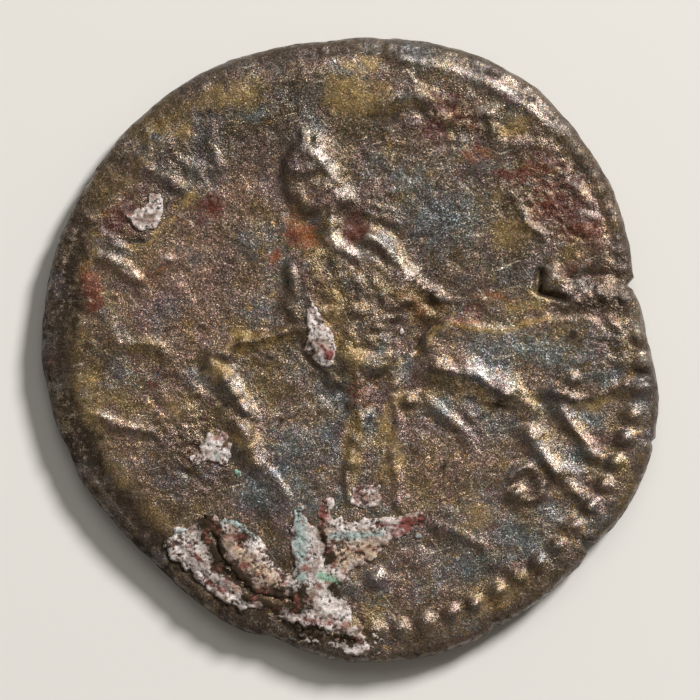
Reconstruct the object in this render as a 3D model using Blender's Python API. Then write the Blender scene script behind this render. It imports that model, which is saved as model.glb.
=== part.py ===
"""An antoninianus: one struck coin of silver-washed bronze, lying with its reverse up.

The flan is a hammered disc with an uneven, split edge. The reverse above shows a standing
figure with a spear and a leaning shield inside a border of dots. The obverse below shows a
radiate bust. Both dies are drawn in units that are millimetres on a coin 22 mm high, with the
centre of the flan at 0, 0, and are scaled to FLAN_HEIGHT. The outline comes first, then the
parts of each die, then the strike.
"""

import math

import bmesh
import bpy
import numpy as np

# Driving sizes, in metres
FLAN_HEIGHT = 0.022
FLAN_THICKNESS = 0.00105
EDGE_ROUND = 0.00045
RIM_LAND = 0.00055
RIM_SLOPE = 0.00045
RIM_SWELL = 0.00009
FIGURE_RELIEF = 0.00036
LEGEND_RELIEF = 0.00023
BEAD_RELIEF = 0.00017
PORTRAIT_RELIEF = 0.00029
PORTRAIT_CLEARANCE = 0.00003
SPLIT_STEP = 0.00016
CRUST_RELIEF = 0.00016

# The obverse field lies this far above the worn rim that the coin rests on
UNDER_FIELD = PORTRAIT_RELIEF + PORTRAIT_CLEARANCE
UPPER_FIELD = UNDER_FIELD + FLAN_THICKNESS

DRAWN_HEIGHT = 22.0
UNIT = FLAN_HEIGHT / DRAWN_HEIGHT

# Cells along each side of the grids that become the two faces, and rings round the edge
FACE_CELLS = 130
EDGE_RINGS = 6
KEPT_FACES = 9500

# The flan's outline, clockwise from the top. It was struck off centre and split at the right.
OUTLINE = [
    (1.0, 11.0), (3.8, 10.55), (6.4, 9.3), (8.4, 7.2), (9.55, 5.0), (10.0, 2.8),
    (10.0, 2.2), (10.3, 1.4), (10.75, -0.6), (10.85, -2.1), (10.5, -4.0), (9.5, -5.9),
    (8.7, -6.75), (8.05, -7.55), (6.6, -8.85), (4.5, -10.1), (2.6, -10.75), (0.5, -10.95),
    (-1.0, -10.75), (-2.6, -10.05), (-3.9, -9.75), (-5.6, -8.55), (-7.8, -6.5), (-9.5, -4.3),
    (-10.55, -1.6), (-10.8, 0.6), (-10.45, 3.1), (-9.4, 5.6), (-7.6, 8.0), (-5.0, 9.9),
    (-2.0, 10.8),
]
# Nicks in the edge: direction in degrees, depth, half the width
NICKS = [(-39.0, 0.45, 0.22), (13.5, 0.22, 0.20), (-16.5, 0.12, 0.18), (-62.0, 0.14, 0.25)]
NICK_REACH = 14


def closed_curve(points, steps=6):
    """A smooth closed line through the points, as Catmull-Rom spans."""
    p1 = np.array(points, float)
    p0, p2, p3 = np.roll(p1, 1, 0), np.roll(p1, -1, 0), np.roll(p1, -2, 0)
    spans = []
    for t in np.arange(steps) / steps:
        bend = (2 * p0 - 5 * p1 + 4 * p2 - p3) * t * t + (3 * p1 - p0 - 3 * p2 + p3) * t**3
        spans.append(0.5 * (2 * p1 + (p2 - p0) * t + bend))
    return np.stack(spans, axis=1).reshape(-1, 2)


def smooth_step(value, start, end):
    share = np.clip((value - start) / (end - start), 0, 1)
    return share * share * (3 - 2 * share)


def path_distance(x, y, path):
    """How far each point is from the path, and how far along the path its nearest place is."""
    path = np.array(path, float)
    lengths = np.hypot(*np.diff(path, axis=0).T)
    starts = np.concatenate([[0], np.cumsum(lengths)])
    nearest, along = np.full(x.shape, 1e9), np.zeros(x.shape)
    for (ax, ay), (bx, by), length, start in zip(path, path[1:], lengths, starts):
        share = ((x - ax) * (bx - ax) + (y - ay) * (by - ay)) / length**2
        share = np.clip(share, 0, 1)
        gap = np.hypot(x - ax - share * (bx - ax), y - ay - share * (by - ay))
        closer = gap < nearest
        nearest = np.where(closer, gap, nearest)
        along = np.where(closer, (start + share * length) / starts[-1], along)
    return nearest, along


def ridge(x, y, path, width, height=1.0, end_width=None):
    """A raised stroke along a path, worn round across, which may taper to end_width."""
    nearest, along = path_distance(x, y, path)
    half = 0.5 * (width + ((width if end_width is None else end_width) - width) * along)
    return height * np.clip(1 - (nearest / half) ** 2, 0, None) ** 1.8


def mound(x, y, centre, radii, height=1.0, turn=0.0):
    """A raised oval, turned by that many degrees."""
    c, s = math.cos(math.radians(turn)), math.sin(math.radians(turn))
    u = ((x - centre[0]) * c + (y - centre[1]) * s) / radii[0]
    v = ((y - centre[1]) * c - (x - centre[0]) * s) / radii[1]
    return height * np.clip(1 - u * u - v * v, 0, None) ** 0.8


def raised_shape(x, y, outline, height=1.0, shoulder=0.8):
    """A filled form inside a smooth closed outline, whose sides round over within shoulder."""
    line = closed_curve(outline)
    nearest, _ = path_distance(x, y, np.vstack([line, line[:1]]))
    inside = np.zeros(x.shape, bool)
    for (ax, ay), (bx, by) in zip(line, np.roll(line, -1, 0)):
        if ay != by:
            inside ^= ((ay > y) != (by > y)) & (x < (bx - ax) * (y - ay) / (by - ay) + ax)
    share = np.clip(nearest / shoulder, 0, 1)
    return np.where(inside, height * share * (2 - share), 0)


def highest(forms):
    return np.maximum.reduce(list(forms))


def edge_radius(angle):
    """The flan's radius in that direction."""
    line = closed_curve(OUTLINE)
    radius = np.interp(
        angle, np.arctan2(line[:, 1], line[:, 0])[::-1], np.hypot(*line.T)[::-1], period=2 * math.pi
    )
    for direction, depth, half in NICKS:
        off = np.angle(np.exp(1j * (angle - math.radians(direction)))) * radius
        radius = radius - depth * np.clip(1 - np.abs(off) / half, 0, 1)
    return radius


def within_rim(inset):
    """0 on the rim's flat land and 1 past the slope inside it, by the distance from the edge."""
    start = EDGE_ROUND + RIM_LAND
    return smooth_step(inset * UNIT, start, start + RIM_SLOPE)


def dot_border(x, y, centre, radius, dots, width):
    """A ring of small domes, the border that both dies have."""
    pitch = 2 * math.pi / dots
    angle = np.arctan2(y - centre[1], x - centre[0])
    nearest = np.round(angle / pitch) * pitch
    off_x = x - centre[0] - radius * np.cos(nearest)
    off_y = y - centre[1] - radius * np.sin(nearest)
    return np.clip(1 - (off_x**2 + off_y**2) / (width / 2) ** 2, 0, None) ** 0.8


# The reverse die
REVERSE_BORDER = {"centre": (0.0, 0.5), "radius": 10.3, "dots": 72, "width": 0.66}


def cut_by_hand(x, y):
    """Bends the die's lines a little, as the engraver's hand and the flow of the metal did."""
    bent_x = x + 0.13 * np.sin(2.3 * y + 0.9 * x + 0.4) + 0.06 * np.sin(5.1 * y - 3.3 * x)
    bent_y = y + 0.13 * np.sin(2.1 * x - 1.1 * y + 2.0) + 0.06 * np.sin(4.7 * x + 3.9 * y)
    return bent_x, bent_y


def standing_figure(x, y):
    """A helmeted figure in a short tunic, its head to the left, a cloak over the raised arm."""
    head = [(-1.8, 7.8), (-1.3, 7.6), (-0.7, 7.0), (-0.1, 6.1), (0.25, 5.3), (-0.2, 4.7),
            (-1.0, 4.7), (-1.7, 5.1), (-2.1, 5.9), (-2.15, 6.9)]
    trunk = [(-1.9, 3.6), (-1.1, 4.1), (-0.4, 4.4), (0.8, 4.5), (1.7, 3.7), (1.85, 2.4),
             (1.5, 1.2), (1.5, 0.2), (1.6, -0.6), (1.1, -1.1), (0.0, -1.1), (-0.7, -0.6),
             (-1.4, 0.0), (-2.0, 0.8), (-2.35, 2.2)]
    cloak = [(1.5, 3.8), (2.4, 3.0), (3.3, 2.5), (3.5, 1.9), (2.7, 1.0), (1.7, 0.8), (1.2, 1.7)]
    body = highest([
        raised_shape(x, y, head, 1.0, 1.1),
        raised_shape(x, y, trunk, 0.9, 1.0),
        raised_shape(x, y, cloak, 0.7, 0.8),
        ridge(x, y, [(-0.8, 5.4), (-0.2, 4.2)], 1.5, 0.85),
        ridge(x, y, [(0.3, -0.6), (0.4, -2.0), (0.05, -3.3), (-0.2, -5.3)], 1.25, 0.85, 0.9),
        ridge(x, y, [(1.0, -0.7), (1.05, -2.2)], 0.9, 0.45, 0.6),
        ridge(x, y, [(-2.0, 0.8), (-3.3, 0.5), (-4.2, 0.1), (-4.85, -0.4)], 0.95, 0.7),
        ridge(x, y, [(-1.8, 3.5), (-2.15, 2.2), (-1.9, 0.9)], 0.8, 0.8),
    ])
    for fold in ([(-1.35, 3.3), (-0.9, 2.2), (-0.4, 0.9)], [(-0.5, 3.1), (0.3, 1.9), (0.6, 0.6)],
                 [(0.9, 3.2), (1.2, 1.6)], [(-0.7, 4.6), (-0.3, 3.8), (0.6, 3.5)],
                 [(1.7, 2.8), (2.9, 1.7)], [(0.3, 5.3), (0.6, 4.5)]):
        body = body - ridge(x, y, fold, 0.55, 0.3)
    return np.clip(body, 0, None)


def spear_and_shield(x, y):
    """The spear down the right side, and the long shield that leans under the other hand."""
    return highest([
        ridge(x, y, [(1.95, 3.6), (1.6, 0.3), (1.5, -2.0), (1.4, -5.5)], 0.62, 0.6),
        ridge(x, y, [(-4.75, -0.3), (-4.2, -1.3), (-3.4, -2.2)], 1.5, 0.8, 1.2),
        ridge(x, y, [(-3.7, -2.4), (-2.9, -3.5), (-2.4, -4.6), (-2.0, -5.6)], 1.4, 0.75, 1.0),
        ridge(x, y, [(-6.1, -0.5), (-5.3, -1.2), (-4.8, -2.3), (-4.5, -3.6)], 0.9, 0.45),
        mound(x, y, (2.1, -1.75), (0.3, 0.3), 0.5),
    ])


def reverse_legend(x, y):
    """What is left of the legend: broad worn strokes up both sides, none of them a letter."""
    strokes = [
        ([(-8.6, 3.35), (-7.2, 2.45)], 1.0, 0.85), ([(-8.7, 1.6), (-8.0, 0.5)], 1.0, 0.8),
        ([(-8.1, 0.4), (-6.6, 0.1)], 0.8, 0.6), ([(-9.2, -2.3), (-6.9, -2.7)], 1.2, 0.7),
        ([(-5.1, 7.8), (-4.6, 6.4)], 0.9, 0.7), ([(-6.4, 7.4), (-5.2, 6.2)], 0.8, 0.75),
        ([(-6.7, 6.6), (-5.5, 5.5)], 0.9, 0.7), ([(-7.9, 7.1), (-6.9, 6.3)], 0.8, 0.5),
        ([(-9.3, 4.8), (-8.2, 3.9)], 0.9, 0.6), ([(1.0, 9.1), (2.0, 9.2), (2.9, 8.4)], 1.0, 0.7),
        ([(4.5, 8.6), (5.3, 7.6)], 1.0, 0.6), ([(7.3, 6.2), (8.5, 5.2)], 1.0, 0.6),
        ([(6.1, 4.8), (6.6, 3.9)], 1.0, 0.45), ([(7.9, -1.9), (9.5, -1.0)], 1.3, 0.9),
        ([(7.4, -1.9), (8.8, -3.6)], 1.0, 0.8), ([(6.5, -2.9), (8.5, -4.6)], 1.5, 1.0),
        ([(7.1, -4.5), (6.3, -3.9), (5.5, -4.5)], 0.9, 0.9), ([(5.8, -5.0), (6.8, -4.9)], 0.9, 0.8),
        ([(3.2, -0.3), (4.6, -0.8), (6.1, -1.6)], 1.5, 1.2),
        ([(2.7, -1.1), (3.5, -2.2), (4.2, -3.0)], 1.1, 0.8),
        ([(2.9, -5.95), (4.1, -6.3), (4.9, -6.8)], 0.8, 0.5),
    ]
    pellet = mound(x, y, (0.9, -7.9), (0.42, 0.42), 0.7)
    return highest([pellet] + [ridge(x, y, path, width, height) for path, width, height in strokes])


def worn_border(x, y):
    """The ring of dots: sharp at the lower right, run together above it, worn at the left."""
    centre, radius = REVERSE_BORDER["centre"], REVERSE_BORDER["radius"]
    angle = np.arctan2(y - centre[1], x - centre[0])
    left = 0.3 + 0.7 * np.clip(np.cos(angle + math.radians(35)), 0, 1) ** 0.5
    off = np.hypot(x - centre[0], y - centre[1]) - radius
    merged = np.clip(1 - (off / 0.5) ** 2, 0, None) ** 1.8 * np.clip(np.cos(2 * angle - 1.5), 0, 1)
    return np.maximum(left * dot_border(x, y, **REVERSE_BORDER), 0.9 * merged)


def split_edge(x, y):
    """The split at the right: its lower lip is rough and proud, the metal above it folds in."""
    lip = ridge(x, y, [(7.6, 1.75), (8.7, 2.05), (9.5, 1.95), (10.6, 1.3)], 0.75, 1.0)
    fold = ridge(x, y, [(7.8, 2.5), (9.0, 2.75), (10.4, 2.35)], 0.7, 0.6)
    crack = ridge(x, y, [(6.75, 2.8), (6.7, 2.05), (7.6, 1.8)], 0.3, 1.0)
    return lip + mound(x, y, (7.25, 2.6), (0.45, 0.6), 0.6) - fold - crack


def lime_crust(x, y):
    """The pale crust of burial deposits over the lower left of the reverse."""
    outline = [(-6.9, -6.7), (-5.7, -5.9), (-4.4, -5.8), (-3.2, -6.4), (-2.2, -7.4), (-1.8, -5.4),
               (-0.6, -5.2), (0.6, -5.9), (2.6, -5.6), (2.4, -6.4), (0.9, -7.5), (0.1, -8.7),
               (1.0, -10.4), (-0.6, -10.5), (-2.2, -9.3), (-4.6, -8.6)]
    hollows = [mound(x, y, (-4.0, -7.5), (0.6, 0.8), 0.7), mound(x, y, (-0.6, -7.6), (0.5, 0.3), 0.5)]
    return raised_shape(x, y, outline, 1.0, 0.5) - highest(hollows)


def reverse_height(x, y, inset):
    """Height of the upper face at each point, where inset is the distance in from the edge."""
    bent_x, bent_y = cut_by_hand(x, y)
    rim = 1 - within_rim(inset)
    figure = highest([standing_figure(bent_x, bent_y), spear_and_shield(bent_x, bent_y)])
    relief = highest([
        FIGURE_RELIEF * figure,
        LEGEND_RELIEF * reverse_legend(bent_x, bent_y),
        BEAD_RELIEF * worn_border(x, y),
        CRUST_RELIEF * lime_crust(bent_x, bent_y),
    ])
    return UPPER_FIELD + relief + RIM_SWELL * rim + SPLIT_STEP * split_edge(bent_x, bent_y)


# The obverse die, drawn with u to the right and v up, as it is read from below
OBVERSE_BORDER = {"centre": (0.1, -0.1), "radius": 9.45, "dots": 66, "width": 0.6}
CROWN_CENTRE = (-0.3, 1.3)
CROWN_RAYS = [28.0, 52.0, 76.0, 100.0, 124.0]
RAY_START, RAY_END = 3.5, 6.7
LEGEND_RADIUS = 8.0
LEGEND_STROKES = 52


def radiate_bust(u, v):
    """A draped bust to the right with a radiate crown, its face a plain classical profile."""
    head = [
        (2.5, 3.6), (2.9, 2.5), (3.0, 1.6), (2.95, 1.15), (3.3, 0.4), (3.7, -0.3),
        (3.55, -0.65), (3.1, -0.85), (3.2, -1.2), (3.05, -1.5), (3.1, -1.8), (2.85, -2.1),
        (2.95, -2.6), (2.6, -3.05), (1.9, -3.2), (1.0, -2.9), (0.8, -4.2), (1.2, -5.4),
        (-2.5, -5.6), (-2.3, -4.0), (-2.7, -2.2), (-3.3, -0.4), (-3.5, 1.4), (-3.1, 3.1),
        (-2.0, 4.4), (-0.4, 5.0), (1.2, 4.7),
    ]
    bust = [(-2.6, -5.2), (-4.2, -6.0), (-5.2, -7.3), (-3.4, -8.2), (0.0, -8.6), (3.4, -8.1),
            (4.6, -7.2), (3.2, -6.0), (1.2, -5.2), (-0.6, -4.8)]
    rays = []
    for direction in CROWN_RAYS:
        c, s = math.cos(math.radians(direction)), math.sin(math.radians(direction))
        ends = [(CROWN_CENTRE[0] + r * c, CROWN_CENTRE[1] + r * s) for r in (RAY_START, RAY_END)]
        rays.append(ridge(u, v, ends, 1.5, 0.8, 0.45))
    form = highest([
        raised_shape(u, v, head, 0.85, 1.6),
        raised_shape(u, v, bust, 0.7, 0.9),
        ridge(u, v, [(2.75, 3.5), (0.4, 3.1), (-1.9, 1.9), (-3.4, 0.3)], 0.7, 1.0),
        ridge(u, v, [(-3.4, 0.2), (-4.3, -0.9), (-4.5, -2.4)], 0.5, 0.55, 0.3),
        ridge(u, v, [(-3.2, -0.2), (-3.7, -1.6), (-4.0, -3.2)], 0.5, 0.5, 0.3),
        ridge(u, v, [(1.55, 1.5), (2.6, 1.45)], 0.45, 1.0),
        ridge(u, v, [(1.7, 0.85), (2.4, 0.8)], 0.4, 0.95),
        mound(u, v, (1.6, -0.9), (1.3, 1.5), 1.0),
        ridge(u, v, [(-0.4, 1.0), (0.1, 0.5), (-0.1, -0.3), (-0.5, -0.6)], 0.5, 1.0),
        *rays,
    ])
    for fold in ([(-3.4, -5.8), (-1.8, -7.2), (-1.4, -8.4)], [(-1.2, -5.4), (0.2, -7.0), (0.6, -8.4)],
                 [(2.6, -6.2), (1.2, -7.0), (0.4, -8.2)], [(-2.4, -4.9), (0.4, -5.2), (1.4, -5.0)],
                 [(2.95, -1.5), (2.3, -1.55)], [(0.9, -2.7), (-0.2, -2.3), (-0.8, -1.2)]):
        form = form - ridge(u, v, fold, 0.45, 0.25)
    return np.clip(form, 0, 1)


def obverse_legend(u, v):
    """Two arcs of worn upright and slanted strokes that stand where the legend was."""
    strokes = []
    for i in range(LEGEND_STROKES):
        angle = math.radians(238.0 - 296.0 * i / (LEGEND_STROKES - 1))
        lean = math.radians((0.0, 16.0, -14.0, 6.0, -22.0, 34.0, -5.0)[i % 7])
        reach = (0.62, 0.5, 0.62, 0.38, 0.56, 0.3, 0.6)[i % 7]
        over_crown = 34.0 < math.degrees(angle) < 118.0
        if over_crown or i % 11 == 10:
            continue
        centre = (LEGEND_RADIUS * math.cos(angle), LEGEND_RADIUS * math.sin(angle))
        way = (math.cos(angle + lean), math.sin(angle + lean))
        ends = [(centre[0] + side * reach * way[0], centre[1] + side * reach * way[1])
                for side in (-1, 1)]
        strokes.append(ridge(u, v, ends, 0.42))
    return highest(strokes)


def obverse_height(x, y, inset):
    """Height of the lower face. The worn rim is flat at 0, and the die lies above it."""
    u, v = x, -y
    relief = highest([
        PORTRAIT_RELIEF * radiate_bust(u, v),
        BEAD_RELIEF * dot_border(u, v, **OBVERSE_BORDER),
        LEGEND_RELIEF * obverse_legend(u, v),
    ])
    return (UNDER_FIELD - relief) * within_rim(inset)


def blank_box():
    """Two grids joined by rings of faces, a box that the strike shapes into a coin."""
    mesh = bmesh.new()
    bmesh.ops.create_grid(mesh, x_segments=FACE_CELLS, y_segments=FACE_CELLS, size=1)
    rim = [edge for edge in mesh.edges if edge.is_boundary]
    for _ in range(EDGE_RINGS):
        made = bmesh.ops.extrude_edge_only(mesh, edges=rim)["geom"]
        rim = [part for part in made if isinstance(part, bmesh.types.BMEdge) and part.is_boundary]
        corners = [part for part in made if isinstance(part, bmesh.types.BMVert)]
        bmesh.ops.translate(mesh, verts=corners, vec=(0, 0, -1))
    below = bmesh.ops.create_grid(mesh, x_segments=FACE_CELLS, y_segments=FACE_CELLS, size=1)
    bmesh.ops.translate(mesh, verts=below["verts"], vec=(0, 0, -EDGE_RINGS))
    bmesh.ops.remove_doubles(mesh, verts=mesh.verts, dist=0.1 / FACE_CELLS)
    bmesh.ops.recalc_face_normals(mesh, faces=mesh.faces)
    return mesh


def square_to_disc(a, b):
    """Share of the radius, and the angle, of each point of a square, with even cells."""
    share = np.maximum(np.abs(a), np.abs(b))
    safe = np.where(share > 0, share, 1)
    signed = np.where(np.abs(a) > np.abs(b), a, b)
    sideways = np.abs(a) > np.abs(b)
    angle = np.where(sideways, math.pi / 4 * b / np.where(sideways, a, 1),
                     math.pi / 2 - math.pi / 4 * a / np.where(sideways, 1, np.where(b == 0, 1, b)))
    angle = np.where(signed < 0, angle + math.pi, angle)
    return np.where(share > 0, share / safe * share, 0), angle


def strike(points):
    """Moves the box's points onto the coin: the faces by the dies, the rings round the edge."""
    a, b, level = points[:, 0], points[:, 1], -points[:, 2]
    share, angle = square_to_disc(a, b)
    radius = edge_radius(angle)
    mean = radius.mean()
    shoulder = radius - EDGE_ROUND / UNIT
    # Nicks and bumps of the outline fade within a short way of the edge
    reach = share * (mean - EDGE_ROUND / UNIT) + (shoulder - mean + EDGE_ROUND / UNIT) * share**NICK_REACH
    x, y = reach * np.cos(angle), reach * np.sin(angle)
    inset = edge_radius(np.arctan2(y, x)) - np.hypot(x, y)
    top, bottom = reverse_height(x, y, inset), obverse_height(x, y, inset)
    turn = math.pi * level / EDGE_RINGS
    z = bottom + (top - bottom) * (1 + np.cos(turn)) / 2
    bulge = EDGE_ROUND / UNIT * np.sin(turn) * (share > 0.999)
    x, y = x + bulge * np.cos(angle), y + bulge * np.sin(angle)
    x, y = x - (x.min() + x.max()) / 2, y - (y.min() + y.max()) / 2
    return np.column_stack([x * UNIT, y * UNIT, z])


def silvered_bronze():
    """Worn silver-washed bronze under a brown patina."""
    material = bpy.data.materials.new("silvered_bronze")
    material.use_nodes = True
    shader = material.node_tree.nodes["Principled BSDF"]
    shader.inputs["Base Color"].default_value = (0.16, 0.12, 0.08, 1)
    shader.inputs["Metallic"].default_value = 0.7
    shader.inputs["Roughness"].default_value = 0.5
    return material


def build_coin():
    box = blank_box()
    mesh = bpy.data.meshes.new("coin")
    box.to_mesh(mesh)
    box.free()
    points = np.empty(len(mesh.vertices) * 3, np.float32)
    mesh.vertices.foreach_get("co", points)
    mesh.vertices.foreach_set("co", strike(points.reshape(-1, 3).astype(float)).ravel())
    mesh.update()
    mesh.shade_smooth()
    mesh.materials.append(silvered_bronze())
    coin = bpy.data.objects.new("coin", mesh)
    bpy.context.scene.collection.objects.link(coin)
    thin = coin.modifiers.new("fewer_faces", "DECIMATE")
    thin.ratio = KEPT_FACES / (2 * len(mesh.polygons))


for old in list(bpy.data.objects):
    bpy.data.objects.remove(old)
build_coin()
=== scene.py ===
"""An antoninianus, seen from straight above as it lies on a pale floor with its reverse up."""
import math

import bmesh
import bpy
import numpy as np
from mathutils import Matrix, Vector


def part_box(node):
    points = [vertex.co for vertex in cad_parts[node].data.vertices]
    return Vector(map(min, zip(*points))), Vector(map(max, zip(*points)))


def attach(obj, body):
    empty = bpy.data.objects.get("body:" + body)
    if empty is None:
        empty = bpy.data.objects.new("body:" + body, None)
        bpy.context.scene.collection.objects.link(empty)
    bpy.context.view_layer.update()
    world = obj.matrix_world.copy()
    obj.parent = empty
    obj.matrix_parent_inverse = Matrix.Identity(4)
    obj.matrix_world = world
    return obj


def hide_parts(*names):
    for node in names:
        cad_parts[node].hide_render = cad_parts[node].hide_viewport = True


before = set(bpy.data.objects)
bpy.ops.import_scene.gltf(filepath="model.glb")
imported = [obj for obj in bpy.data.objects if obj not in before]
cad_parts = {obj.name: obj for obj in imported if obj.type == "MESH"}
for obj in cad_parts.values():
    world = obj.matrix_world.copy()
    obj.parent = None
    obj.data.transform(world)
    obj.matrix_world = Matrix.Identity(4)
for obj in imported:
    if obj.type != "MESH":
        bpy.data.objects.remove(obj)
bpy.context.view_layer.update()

# The coin is one flan of debased silver and bronze. It was hammered out, struck once between
# two dies, a little off centre, and split at the edge by the blow. Its dies are drawn here in
# units that are millimetres on a coin 22 mm high, with the middle of the flan at 0, 0.
OUTLINE = [
    (1.0, 11.03), (3.85, 10.68), (6.5, 9.37), (8.4, 7.2), (9.55, 5.0), (10.0, 2.8),
    (10.0, 2.2), (10.3, 1.4), (10.75, -0.6), (10.85, -2.1), (10.5, -4.0), (9.5, -5.9),
    (8.7, -6.75), (8.05, -7.55), (6.6, -8.85), (4.5, -10.1), (2.6, -10.75), (0.5, -10.95),
    (-1.0, -10.75), (-2.6, -10.05), (-3.9, -9.75), (-5.6, -8.55), (-7.8, -6.5), (-9.5, -4.3),
    (-10.55, -1.6), (-10.8, 0.6), (-10.45, 3.1), (-9.4, 5.6), (-7.6, 8.0), (-5.0, 9.9),
    (-2.0, 10.8),
]
# Nicks in the edge: direction in degrees, depth, half the width
NICKS = [(-39.0, 0.45, 0.22), (13.5, 0.22, 0.20), (-16.5, 0.12, 0.18), (-62.0, 0.14, 0.25)]
# The rounding of the edge, the flat land and slope of the rim, the thickness in the field, and
# how high each part of the design stands
EDGE_ROUND = 0.45
RIM_LAND = 0.55
RIM_SLOPE = 0.45
RIM_SWELL = 0.09
FIELD_THICKNESS = 1.05
DRAWN_HEIGHT = 21.96
FIGURE_RELIEF = 0.28
STROKE_RELIEF = 0.22
BEAD_RELIEF = 0.19
PORTRAIT_RELIEF = 0.29
UNDER_FIELD = 0.32
UPPER_FIELD = UNDER_FIELD + FIELD_THICKNESS


def smooth_step(value, start, end):
    """0 up to start and 1 from end on, with a soft rise between."""
    share = np.clip((value - start) / (end - start), 0, 1)
    return share * share * (3 - 2 * share)


def closed_curve(points, steps=6):
    """A smooth closed line through the points, as Catmull-Rom spans."""
    p1 = np.array(points, float)
    p0, p2, p3 = np.roll(p1, 1, 0), np.roll(p1, -1, 0), np.roll(p1, -2, 0)
    spans = []
    for t in np.arange(steps) / steps:
        bend = (2 * p0 - 5 * p1 + 4 * p2 - p3) * t * t + (3 * p1 - p0 - 3 * p2 + p3) * t**3
        spans.append(0.5 * (2 * p1 + (p2 - p0) * t + bend))
    return np.stack(spans, axis=1).reshape(-1, 2)


def edge_radius(angle):
    """The flan's radius in that direction."""
    line = closed_curve(OUTLINE)
    radius = np.interp(
        angle, np.arctan2(line[:, 1], line[:, 0])[::-1], np.hypot(*line.T)[::-1], period=2 * math.pi
    )
    for direction, depth, half in NICKS:
        off = np.angle(np.exp(1j * (angle - math.radians(direction)))) * radius
        radius = radius - depth * np.clip(1 - np.abs(off) / half, 0, 1)
    return radius


def cloud(x, y, size, seed):
    """Smooth random hills, about size across, between -1 and 1."""
    table = np.random.default_rng(seed).uniform(-1, 1, (128, 128))
    u, v = x / size + 64, y / size + 64
    i, j = np.floor(u).astype(int), np.floor(v).astype(int)
    fu, fv = smooth_step(u - i, 0, 1), smooth_step(v - j, 0, 1)
    near = table[i % 128, j % 128] * (1 - fu) + table[(i + 1) % 128, j % 128] * fu
    far = table[i % 128, (j + 1) % 128] * (1 - fu) + table[(i + 1) % 128, (j + 1) % 128] * fu
    return near * (1 - fv) + far * fv


def clouds(x, y, size, seed, layers=3):
    """Hills upon hills, each layer half as wide and half as high, and turned."""
    total = np.zeros(x.shape)
    for layer in range(layers):
        c, s = math.cos(0.7 + layer), math.sin(0.7 + layer)
        total += cloud(x * c - y * s, x * s + y * c, size / 2**layer, seed + layer) / 2**layer
    return total / 1.3


def path_distance(x, y, path):
    """How far each point is from the path, how far along it, and on which side, +1 the left."""
    path = np.array(path, float)
    lengths = np.hypot(*np.diff(path, axis=0).T)
    starts = np.concatenate([[0], np.cumsum(lengths)])
    nearest, along, side = np.full(x.shape, 1e9), np.zeros(x.shape), np.ones(x.shape)
    for (ax, ay), (bx, by), length, start in zip(path, path[1:], lengths, starts):
        share = ((x - ax) * (bx - ax) + (y - ay) * (by - ay)) / length**2
        share = np.clip(share, 0, 1)
        gap = np.hypot(x - ax - share * (bx - ax), y - ay - share * (by - ay))
        closer = gap < nearest
        nearest = np.where(closer, gap, nearest)
        along = np.where(closer, (start + share * length) / starts[-1], along)
        left = (bx - ax) * (y - ay) >= (by - ay) * (x - ax)
        side = np.where(closer, np.where(left, 1.0, -1.0), side)
    return nearest, along, side


def ridge(x, y, left, right, height, path, end=1.0):
    """A raised stroke along a path: how far its flanks reach to the left and to the right of
    the way it runs, its height, and the share of both that is left at its end."""
    nearest, along, side = path_distance(x, y, path)
    taper = 1 + (end - 1) * along
    flank = np.where(side > 0, left, right) * taper
    return height * taper * np.clip(1 - nearest / flank, 0, None) ** 1.4


def mound(x, y, centre, radii, height=1.0, turn=0.0):
    """A raised oval, turned by that many degrees."""
    c, s = math.cos(math.radians(turn)), math.sin(math.radians(turn))
    u = ((x - centre[0]) * c + (y - centre[1]) * s) / radii[0]
    v = ((y - centre[1]) * c - (x - centre[0]) * s) / radii[1]
    return height * np.clip(1 - u * u - v * v, 0, None) ** 0.8


def raised_shape(x, y, outline, height=1.0, shoulder=0.8):
    """A filled form inside a smooth closed outline, whose sides round over within shoulder."""
    line = closed_curve(outline)
    nearest = path_distance(x, y, np.vstack([line, line[:1]]))[0]
    inside = np.zeros(x.shape, bool)
    for (ax, ay), (bx, by) in zip(line, np.roll(line, -1, 0)):
        if ay != by:
            inside ^= ((ay > y) != (by > y)) & (x < (bx - ax) * (y - ay) / (by - ay) + ax)
    share = np.clip(nearest / shoulder, 0, 1)
    return np.where(inside, height * share * (2 - share), 0)


def patches(x, y, spots):
    """Soft spots, each a centre and two radii with its turn in degrees and its strength."""
    total = np.zeros(x.shape)
    for centre_x, centre_y, radius_x, radius_y, turn, strength in spots:
        c, s = math.cos(math.radians(turn)), math.sin(math.radians(turn))
        u = ((x - centre_x) * c + (y - centre_y) * s) / radius_x
        v = ((y - centre_y) * c - (x - centre_x) * s) / radius_y
        total = np.maximum(total, strength * np.exp(-(u * u + v * v)))
    return total


def highest(forms):
    """The highest of the forms at each point."""
    return np.maximum.reduce(list(forms))


def within_rim(inset):
    """0 on the rim's flat land and 1 past the slope inside it, by the distance from the edge."""
    start = EDGE_ROUND + RIM_LAND
    return smooth_step(inset, start, start + RIM_SLOPE)


def dot_border(x, y, centre, radius, dots, width):
    """A ring of small domes, the border that both dies have."""
    pitch = 2 * math.pi / dots
    angle = np.arctan2(y - centre[1], x - centre[0])
    nearest = np.round(angle / pitch) * pitch
    off_x = x - centre[0] - radius * np.cos(nearest)
    off_y = y - centre[1] - radius * np.sin(nearest)
    return np.clip(1 - (off_x**2 + off_y**2) / (width / 2) ** 2, 0, None) ** 0.8


# The upper die sits a little high on the flan
REVERSE_BORDER = {"centre": (0.0, 0.5), "radius": 10.3, "dots": 72, "width": 0.66}


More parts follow.
